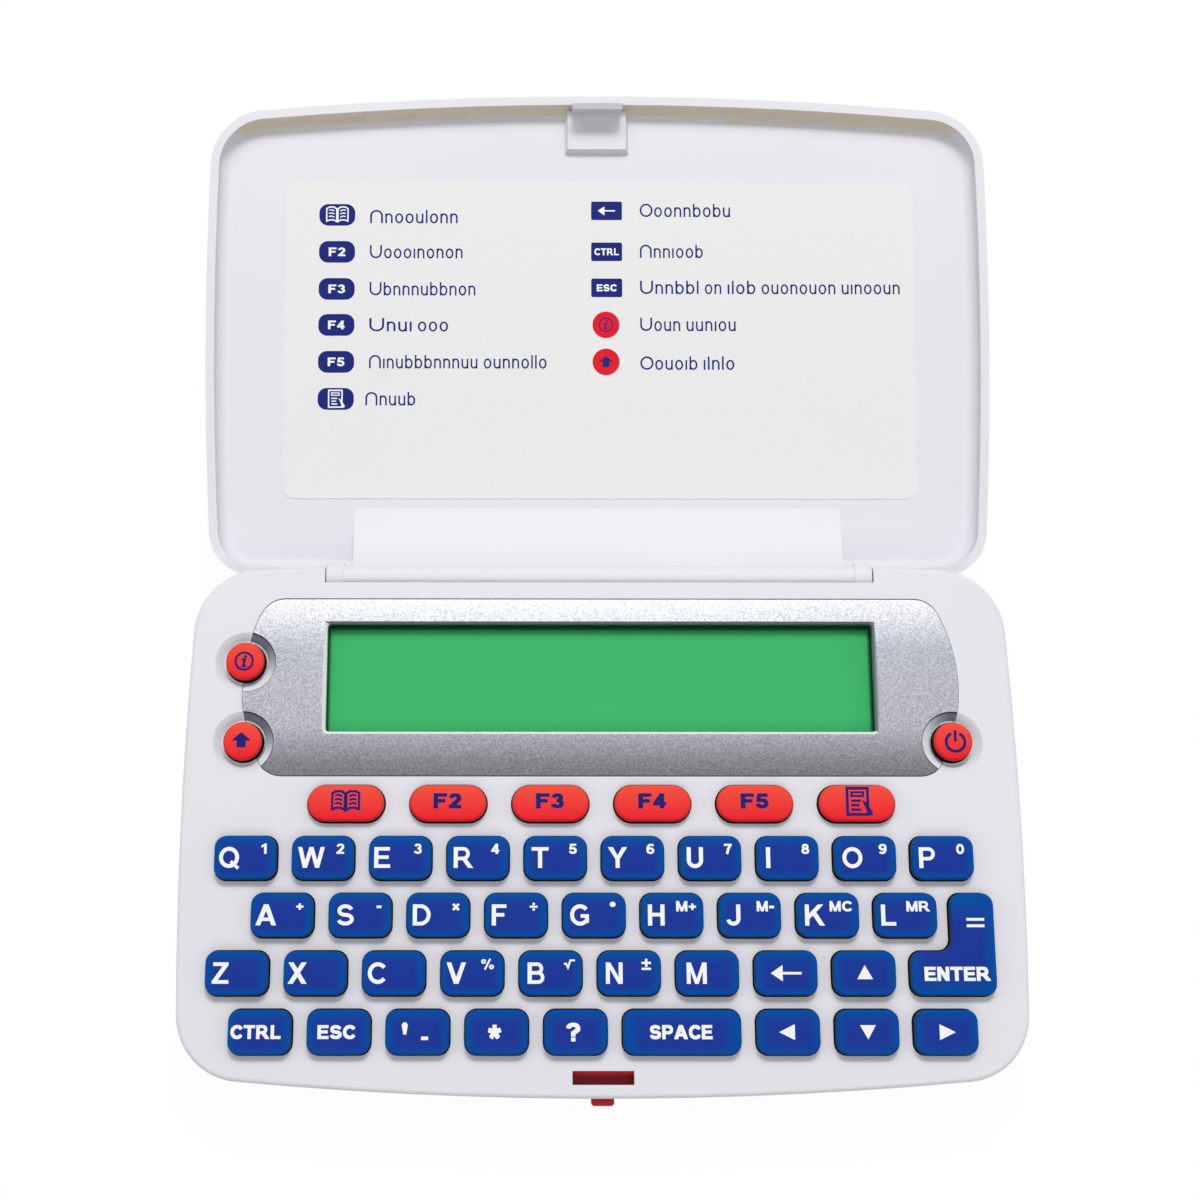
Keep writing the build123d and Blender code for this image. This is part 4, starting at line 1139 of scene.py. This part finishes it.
info = (
    band(arc_points(0, 0, 1.45, steps=40), 0.26, True)
    + [round_box(0.2, 0.78, 0.42, 0.42, 0.2)]
    + band([(-0.34, 0.28), (0.08, 0.28), (-0.14, -0.84), (0.26, -0.84)], 0.34)
)
shift_arrow = [[(-1.5, 0), (1.5, 0), (0, 1.3)]] + bar(-0.72, 0.72, -1.15, 0.02)
book = []
for side in (-1, 1):
    sheet = [(0.12, 1.25), (0.7, 1.62), (1.55, 1.62), (2.15, 1.3)]
    sheet += [(2.15, -1.3), (1.55, -1.05), (0.7, -1.05), (0.12, -1.4)]
    book += band([(side * x, y) for x, y in sheet], 0.28, True)
    for row in (0.95, 0.3, -0.35):
        line = [(side * 0.6, row - 0.12), (side * 1.15, row + 0.1), (side * 1.7, row - 0.02)]
        book += band(line, 0.22)
page = (
    band([(-1.35, -1.6), (1.2, -1.6), (1.2, 1.65), (-1.35, 1.65)], 0.28, True)
    + band([(-0.8, 0.7), (0.65, 0.7), (0.65, 1.15), (-0.8, 1.15)], 0.2, True)
    + bar(-0.85, 0.3, -0.02, 0.22)
    + bar(-0.85, 0.1, -0.57, -0.33)
    + bar(-0.85, 0.3, -1.12, -0.88)
    + [[(0.55, 0.15), (0.95, -0.1), (1.75, -1.35), (1.65, -1.75), (1.3, -1.6)]]
)

# What each cap carries: a letter and a second legend in the corner, a centred mark, or a word.
corner_legends = dict(zip("qwertyuiop" + "asdfg" + "vn", "1234567890" + "+-x/." + "%#"))
corner_legends.update({"h": "M+", "j": "M-", "k": "MC", "l": "MR"})
centred_marks = {
    "backspace": arrow_left,
    "up": triangle_up,
    "down": triangle_down,
    "left": triangle_left,
    "right": triangle_right,
    "quote": quote,
    "book": move_shapes(scaled(book, 1.03), 0, 0.25),
    "page": move_shapes(scaled(page, 1.33), 0.1, 0.25),
    "info": move_shapes(info, -0.1, -0.05),
    "shift": move_shapes(shift_arrow, -0.15, 0.1),
    "power": move_shapes(scaled(power, 1.1), 0.28, -0.12),
}
key_words = {  # text, height, width, and how far left of the middle it sits
    "ctrl": ("CTRL", 2.05, 7.95, 0.55),
    "esc": ("ESC", 2.05, 5.95, 0.3),
    "space": ("SPACE", 2.1, 10.0, 0.2),
    "star": ("*", 3.0, 2.1, 0.35),
    "question": ("?", 2.8, 2.15, 0.4),
    **{f"f{number}": (f"F{number}", 2.3, 4.4, 0.1) for number in (2, 3, 4, 5)},
}
capital = 3.4  # height of the large letters
small_capital = 1.6  # and of the second legends
letter_starts = dict(  # from the left edge of a cap to its letter
    zip(
        "qwertyuiop" + "asdfghjkl" + "zxcvbnm",
        (0.85, 1.05, 0.85, 1.15, 1.2, 1.0, 1.2, 1.5, 1.3, 1.15)
        + (0.85, 1.35, 1.0, 1.15, 1.2, 1.15, 1.2, 1.3, 1.0)
        + (1.2, 0.7, 0.95, 0.95, 1.35, 1.3, 1.65),
    )
)
small_margin = 1.6  # from the right edge to a second legend of one sign
word_margin = 1.2  # and of two
root_half = 0.6  # from the root sign's middle to the same margin
small_rise = 1.42  # middle of the second legend above the middle of the cap
small_stretch = 1.15  # second legends are set wide
red_word_rise = 0.34  # words on rubber keys sit this much above the middle
enter_word = ("ENTER", 2.1, 10.6)
enter_word_start = 2.2  # from the left edge of the cap
enter_word_drop = 4.75  # below its middle
equals_inset = 3.1  # from the right edge to the middle of the sign
equals_rise = 3.45
# by how much print is bolder all round: small signs, blue words, ENTER, red words and red marks
small_bold, blue_bold, enter_bold, red_bold, mark_bold = 0.035, 0.07, 0.08, 0.1, 0.05


def print_shapes(mesh, shapes, place, material):
    """Adds flat shapes to a bmesh as one film of ink, with place(x, y) giving each point."""
    points, loops = [], []
    for shape in shapes:
        turned = sum(a[0] * b[1] - b[0] * a[1] for a, b in zip(shape, shape[1:] + shape[:1]))
        if abs(turned) < 1e-9:
            continue
        loops.append(list(range(len(points), len(points) + len(shape))))
        points += [Vector(p) for p in (shape if turned > 0 else shape[::-1])]
    spots, _, faces, _, _, sources = delaunay_2d_cdt(points, [], loops, 1, 1e-5)
    verts = [mesh.verts.new(place(spot.x, spot.y)) for spot in spots]
    for face, source in zip(faces, sources):
        if source:
            mesh.faces.new([verts[i] for i in face]).material_index = material
    for vert in verts:
        if not vert.link_faces:
            mesh.verts.remove(vert)


for name in sorted(node for node in cad_nodes if node.startswith("key_")):
    legend = name[4:]
    low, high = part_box(name)
    left, right = low.x + flange_lap, high.x - flange_lap
    front, rear = low.y + flange_lap, high.y - flange_lap
    centre = Vector(((left + right) / 2, (front + rear) / 2, high.z))
    half = Vector(((right - left) / 2, (rear - front) / 2, key_edge))
    red = high.z < rubber_top
    corners = [(left, front), (right, front), (right, rear), (left, rear)]
    if legend == "enter":
        neck, step = right - enter_neck, front + enter_foot
        corners[3:] = [(neck, rear), (neck, step), (left, step)]
    seed_mesh = bpy.data.meshes.new(name)
    ring = [(i, (i + 1) % len(corners)) for i in range(len(corners))]
    seed_mesh.from_pydata([(x, y, 0) for x, y in corners], ring, [])
    cap_values = {
        "Corner Radius": min(half.x, half.y) * full_round if red else key_corner,
        "Top Height": high.z,
        "Edge Radius": rubber_edge if red else key_edge,
        "Flange Lap": flange_lap,
        "Flange Top": low.z + flange_thickness,
        "Flange Bottom": low.z,
        "Centre": centre,
        "Half Size": half,
        "Material": red_silicone if red else satin_blue_abs,
    }
    mesh = bake_tree(name, seed_mesh, cap_tree, cap_values)
    mesh.materials.append(navy_ink if red else white_ink)

    width = (right - left) * 1000
    if len(legend) == 1:
        letter = word_shapes(legend.upper(), capital)
        shapes = move_shapes(letter, letter_starts[legend] - width / 2, 0)
        if legend in corner_legends:
            second = corner_legends[legend]
            wide = right_side(word_shapes(second, small_capital)) * small_stretch
            start = width / 2 - wide - (small_margin if len(second) == 1 else word_margin)
            word = wide_word(second, small_capital, wide, small_bold)
            shapes += move_shapes(word, start, small_rise)
        if legend == "b":
            shapes += move_shapes(root, width / 2 - small_margin - root_half, small_rise)
    elif legend in centred_marks:
        shapes = centred_marks[legend]
        if red:
            shapes = bolder(shapes, mark_bold)
    elif legend in key_words:
        text, cap, wide, aside = key_words[legend]
        word = wide_word(text, cap, wide, red_bold if red else blue_bold)
        shapes = move_shapes(word, -wide / 2 - aside, red_word_rise if red else 0)
    else:
        word = wide_word(*enter_word, enter_bold)
        shapes = move_shapes(word, enter_word_start - width / 2, -enter_word_drop)
        shapes += move_shapes(equals, width / 2 - equals_inset, equals_rise)
    printed = bmesh.new()
    printed.from_mesh(mesh)
    ink = high.z + print_lift
    print_shapes(printed, shapes, lambda x, y: (centre.x + x / 1000, centre.y + y / 1000, ink), 1)
    printed.to_mesh(mesh)
    printed.free()
    mesh.shade_smooth()
    mesh.set_sharp_from_angle(angle=math.radians(crease))
    cap_piece = new_piece(name + "_cap", mesh)
    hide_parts(name)
    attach(cap_piece, name + "_body")

# ---- Latch ----
# The latch button and its catch are one moulding in glossy red ABS. It slides in rails inside
# the front wall and is pushed back out by a small coil spring of music wire.

# Glossy red ABS from a polished tool: saturated, with faint streaks from the gate.
glossy_red_abs, tree, place = new_material("glossy_red_abs")
streak = add_node(
    tree,
    "ShaderNodeMix",
    {
        "Factor": add_node(
            tree, "ShaderNodeTexNoise", {"Vector": (place, "Object"), "Scale": 400.0}
        ),
        6: srgb("#CC1222"),
        7: srgb("#D61C2C"),
    },
    data_type="RGBA",
)
shader = add_node(
    tree, "ShaderNodeBsdfPrincipled", {"Base Color": streak, "Roughness": 0.22, "IOR": 1.54}
)
add_node(tree, "ShaderNodeOutputMaterial", {"Surface": shader})
dress("latch_button", glossy_red_abs)

# Bright drawn spring wire with faint die lines.
spring_wire, tree, place = new_material("drawn_spring_steel")
shader = add_node(
    tree,
    "ShaderNodeBsdfPrincipled",
    {
        "Base Color": srgb("#B9BABD"),
        "Roughness": uneven(tree, place, 3000.0, 0.2, 0.4),
        "Metallic": 1.0,
    },
)
add_node(tree, "ShaderNodeOutputMaterial", {"Surface": shader})
dress("latch_spring", spring_wire)

# ---- Lid and its label ----
# The lid is one white ABS moulding with the hinge pins and the latch hook. A paper label with a
# matt film lies on its inside and explains the keys, in navy and red print.
lid_turn = math.radians(171.5)  # how far the lid stands open
hinge_line = Vector((0.0, 0.0426, 0.0150))
lid_floor = 0.0067  # inside face of the lid above the hinge line when it is closed
wall_shade_start = 0.1215  # how far back the painted shade of the front wall starts, as the lid stands
wall_shade_full = 0.1225  # and where it is full
hook_half = 0.0045  # half the hook's width, which the painted shade leaves out
label_thickness = 0.00012
label_width, label_height = 111.9, 56.8
label_aside = 0.5  # how far to the right of the lid's middle it is stuck
label_middle = 42.65  # from the hinge line to the middle of the label
label_corner = 2.0
print_height = label_thickness + print_lift
ink_step = 0.00001  # between inks that are printed over each other

# The same ABS with painted shade: inside its front wall, beside the hook, it is painted a warm
# beige as the shade that falls there.
lid_shaded_abs = white_abs.copy()
lid_shaded_abs.name = "white_abs_painted_shade"
tree = lid_shaded_abs.node_tree
place, unshaded_tint, shader = (
    next(node for node in tree.nodes if node.bl_idname == "ShaderNode" + kind)
    for kind in ("TexCoord", "Mix", "BsdfPrincipled")
)
at = add_node(tree, "ShaderNodeSeparateXYZ", {"Vector": (place, "Object")})
upright_face = add_node(
    tree,
    "ShaderNodeMapRange",
    {
        "Value": (add_node(tree, "ShaderNodeSeparateXYZ", {"Vector": (place, "Normal")}), "Y"),
        "From Min": -0.45,
        "From Max": -0.8,
    },
)
far = add_node(
    tree,
    "ShaderNodeMapRange",
    {"Value": (at, "Y"), "From Min": wall_shade_start, "From Max": wall_shade_full},
)
beside_hook = add_node(
    tree,
    "ShaderNodeMath",
    {0: add_node(tree, "ShaderNodeMath", {0: (at, "X")}, operation="ABSOLUTE"), 1: hook_half},
    operation="GREATER_THAN",
)
wall_shade = add_node(
    tree,
    "ShaderNodeMath",
    {
        0: add_node(tree, "ShaderNodeMath", {0: upright_face, 1: far}, operation="MULTIPLY"),
        1: beside_hook,
    },
    operation="MULTIPLY",
)
wall_shade_colour = add_node(
    tree, "ShaderNodeMix", {"Factor": wall_shade, 6: unshaded_tint, 7: srgb("#E6DAC5")}, data_type="RGBA"
)
tree.links.new(wall_shade_colour.outputs[2], shader.inputs["Base Color"])
dress("lid", lid_shaded_abs)


def on_lid(x, y, lift=0.0):
    """A point of the lid's inside: x from its middle and y from the hinge line in mm."""
    rise = lid_floor - lift
    return Vector(
        (
            x / 1000,
            hinge_line.y - math.cos(lid_turn) * y / 1000 + math.sin(lid_turn) * rise,
            hinge_line.z + math.sin(lid_turn) * y / 1000 + math.cos(lid_turn) * rise,
        )
    )


# Matt-laminated label paper: a warmer white than the plastic, with faint fibres.
label_paper, tree, place = new_material("matt_laminated_paper")
fibre = add_node(
    tree,
    "ShaderNodeMix",
    {
        "Factor": add_node(
            tree,
            "ShaderNodeTexNoise",
            {"Vector": (place, "Object"), "Scale": 1500.0, "Detail": 4.0},
        ),
        6: srgb("#E8E7E7"),
        7: srgb("#EDECEB"),
    },
    data_type="RGBA",
)
shader = add_node(
    tree, "ShaderNodeBsdfPrincipled", {"Base Color": fibre, "Roughness": 0.5, "IOR": 1.5}
)
add_node(tree, "ShaderNodeOutputMaterial", {"Surface": shader})
# Offset inks on the label: navy and red. Its white marks are in the white ink of the keys.
label_navy = new_ink("navy_offset_print", "#1F2A78", 0.5)
label_red = new_ink("red_offset_print", "#E01F2C", 0.5)

label = bmesh.new()
sheet = round_box(label_aside, label_middle, label_width, label_height, label_corner)
print_shapes(label, [sheet], lambda x, y: on_lid(x, y, label_thickness), 0)
rim = [[label.verts.new(on_lid(x, y, lift)) for lift in (label_thickness, 0.0)] for x, y in sheet]
for (a, b), (c, d) in zip(rim, rim[1:] + rim[:1]):
    label.faces.new([a, b, d, c])
bmesh.ops.remove_doubles(label, verts=label.verts, dist=1e-7)

# Letters of the small print, in millimetres.
small_height, tall_height = 1.75, 2.4
stroke, capital_stroke = 0.28, 0.3
small_gap = 0.42  # between two letters
word_gap = 1.15  # between two words


def greeked(width, seed):
    """Shapes that stand for a word of small print: stems, arches and rings that spell nothing."""
    chance = random.Random(seed)
    shapes, x = [], 0.0
    if seed % 10 == 0:  # a line starts with a capital
        kind = chance.choice(("ring", "arch", "cup"))
        if kind == "ring":
            shapes = bend(1.1, 1.2, 0.96, 1.06, capital_stroke)
        else:
            foot, middle, end = (0, 1.35, 0) if kind == "arch" else (tall_height, 1.05, 360)
            curve = arc_points(1.05, middle, 0.9, 180, end, 12)
            shapes = band([(0.15, foot), *curve, (1.95, foot)], capital_stroke)
        x = 2.5
    while x < width - 1.1:
        kind = chance.choice(("ring", "arch", "cup", "ring", "stem", "tall ring", "arch"))
        left, right, middle = x + 0.13, x + 1.07, x + 0.6
        if kind == "stem":
            top = chance.choice((small_height, tall_height))
            shapes += band([(left, 0), (left, top)], stroke)
            x += 0.26
        elif kind == "arch":
            shapes += band([(left, 0), (left, small_height)], stroke)
            curve = arc_points(middle, 1.1, 0.47, 180, 0, 10, 0.55)
            shapes += band([*curve, (right, 0)], stroke)
            x += 1.2
        elif kind == "cup":
            shapes += band([(right, 0), (right, small_height)], stroke)
            curve = arc_points(middle, 0.65, 0.47, 180, 360, 10, 0.55)
            shapes += band([(left, small_height), *curve], stroke)
            x += 1.2
        else:
            shapes += bend(x + 0.65, 0.88, 0.53, 0.77, stroke)
            if kind == "tall ring":
                shapes += band([(left, 0), (left, tall_height)], stroke)
            x += 1.3
        x += small_gap
    factor = width / (x - small_gap)
    return [[(u * factor, v - 1.0) for u, v in shape] for shape in shapes]


def greeked_line(widths, seed, x, y):
    """Several such words in a line, from x on."""
    shapes = []
    for number, width in enumerate(widths):
        shapes += move_shapes(greeked(width, seed + number), x, y)
        x += width + word_gap
    return shapes


def label_word(text, cap, width):
    """A word about its own middle."""
    return move_shapes(wide_word(text, cap, width, 0.03), -width / 2, 0)


# Each row: how high its mark stands, where its words start, their widths, and its mark.
left_rows = (
    (65.16, (-40.4, 64.66), (15.6,), scaled(book, 0.88)),
    (58.45, (-40.4, 58.3), (16.5,), label_word("F2", 1.5, 2.9)),
    (51.75, (-40.4, 51.6), (18.8,), label_word("F3", 1.5, 2.9)),
    (45.26, (-40.4, 45.11), (7.5, 5.3), label_word("F4", 1.5, 2.9)),
    (38.62, (-40.4, 38.47), (19.2, 11.1), label_word("F5", 1.5, 2.9)),
    (31.99, (-41.0, 31.84), (8.8,), scaled(page, 0.92)),
)
right_rows = (
    (65.95, (7.7, 65.85), (16.1,), scaled(arrow_left, 0.62)),
    (58.52, (7.7, 58.42), (11.2,), label_word("CTRL", 1.2, 4.3)),
    (52.0, (7.7, 51.9), (10.4, 2.9, 4.9, 13.1, 10.3), label_word("ESC", 1.2, 3.5)),
    (45.33, (7.7, 45.23), (7.1, 8.7), scaled(info, 0.82)),
    (38.67, (7.7, 38.27), (10.1, 5.4), scaled(shift_arrow, 0.82)),
)
oval_x, box_x, disc_x = -46.25, 1.77, 1.62  # middles of the marks' grounds
navy_shapes, red_shapes, white_shapes = [], [], []
for row, (y, spot, words, mark) in enumerate(left_rows):
    navy_shapes.append(round_box(oval_x, y, 6.4, 3.9, 1.6, 8))
    white_shapes += move_shapes(mark, oval_x, y)
    navy_shapes += greeked_line(words, row * 10, *spot)
for row, (y, spot, words, mark) in enumerate(right_rows):
    if row < 3:
        navy_shapes.append(round_box(box_x, y, 5.5, 3.35, 0.3))
        white_shapes += move_shapes(mark, box_x, y)
    else:
        red_shapes.append(arc_points(disc_x, y, 2.4, steps=40))
        navy_shapes += move_shapes(mark, disc_x, y)
    navy_shapes += greeked_line(words, 100 + row * 10, *spot)
for step, (shapes, index) in enumerate(((red_shapes, 2), (navy_shapes, 1), (white_shapes, 3))):
    lift = print_height + step * ink_step
    print_shapes(label, shapes, lambda x, y: on_lid(x, y, lift), index)
label_mesh = bpy.data.meshes.new("lid_label")
lid_label = new_piece("lid_label", label_mesh, label_paper, label_navy, label_red, white_ink)
label.to_mesh(label_mesh)
label.free()
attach(lid_label, "lid_body")

# ---- Stage ----
# A white paper sweep under soft boxes. The paper is bright for the camera, keeps the shadow, and
# is see-through from below.
floor_height = -0.00002  # just under the case, so that no two faces share a plane
floor_glow = 0.95  # how much of the paper's white doesn't depend on the light
lamp_aim = Vector((0.0, 0.03, 0.0))
floor_mesh = bpy.data.meshes.new("floor")
corners = ((-3, -3), (3, -3), (3, 3), (-3, 3))  # 6 m by 6 m
floor_mesh.from_pydata([(x, y, floor_height) for x, y in corners], [], [(0, 1, 2, 3)])

# White background paper: matt, and bright where the camera sees it, in mirrors and through glass.
paper, tree, _ = new_material("white_paper_sweep")
rays = add_node(tree, "ShaderNodeLightPath")
matt = add_node(tree, "ShaderNodeBsdfDiffuse", {"Color": srgb("#FFFFFF")})
glow = add_node(tree, "ShaderNodeEmission", {"Color": srgb("#FFFFFF"), "Strength": 1.0})
seen = add_node(
    tree,
    "ShaderNodeMath",
    {0: (rays, "Is Glossy Ray"), 1: (rays, "Is Transmission Ray")},
    operation="ADD",
)
seen = add_node(
    tree,
    "ShaderNodeMath",
    {
        0: add_node(tree, "ShaderNodeMath", {0: (rays, "Is Camera Ray"), 1: seen}, operation="ADD"),
        1: 1.0,
    },
    operation="MINIMUM",
)
share = add_node(tree, "ShaderNodeMath", {0: seen, 1: floor_glow}, operation="MULTIPLY")
above = add_node(tree, "ShaderNodeMixShader", {0: share, 1: matt, 2: glow})
from_below = (add_node(tree, "ShaderNodeNewGeometry"), "Backfacing")
below = add_node(tree, "ShaderNodeBsdfTransparent")
both = add_node(tree, "ShaderNodeMixShader", {0: from_below, 1: above, 2: below})
add_node(tree, "ShaderNodeOutputMaterial", {"Surface": both})
floor = new_piece("floor", floor_mesh, paper)

world = bpy.data.worlds.new("studio")
bpy.context.scene.world = world
world.use_nodes = True
background = world.node_tree.nodes["Background"].inputs
background["Color"].default_value = (0.97, 0.985, 1.01, 1)
background["Strength"].default_value = 0.228


def soft_lamp(name, spot, width, height, watts, mirrored=False):
    """A rectangular soft box at this spot, which shows in glossy surfaces or not."""
    lamp = bpy.data.objects.new(name, bpy.data.lights.new(name, "AREA"))
    lamp.data.shape, lamp.data.energy = "RECTANGLE", watts
    lamp.data.size, lamp.data.size_y = width, height
    lamp.location = spot
    lamp.rotation_mode = "QUATERNION"
    lamp.rotation_quaternion = (lamp_aim - Vector(spot)).to_track_quat("-Z", "Y")
    lamp.visible_glossy = mirrored
    bpy.context.scene.collection.objects.link(lamp)


soft_lamp("soft_box_rear", (0.0, 0.6, 0.9), 0.9, 0.4, 3.8, mirrored=True)
soft_lamp("key_light", (0.05, 0.58, 1.0), 0.25, 0.2, 4.2)
soft_lamp("soft_box_front", (0.0, -0.65, 0.9), 0.8, 0.5, 2.1)
soft_lamp("soft_box_top", (-0.05, 0.05, 1.1), 0.5, 0.5, 0.5)
soft_lamp("soft_box_left", (-0.85, 0.0, 0.6), 0.5, 0.5, 0.9)
soft_lamp("soft_box_right", (0.85, 0.0, 0.6), 0.5, 0.5, 0.9)

camera = bpy.data.objects.new("camera", bpy.data.cameras.new("camera"))
bpy.context.scene.collection.objects.link(camera)
camera.location = (-0.012737, -0.032998, 0.351427)
camera.rotation_euler = [math.radians(angle) for angle in (13.396, -0.172, 0.010)]
camera.data.shift_x, camera.data.shift_y = 0.05775, -0.04075
camera.data.lens, camera.data.sensor_width = 60, 36
camera.data.clip_start, camera.data.clip_end = 0.01, 10
bpy.context.scene.camera = camera
bpy.context.scene.view_settings.view_transform = "Standard"
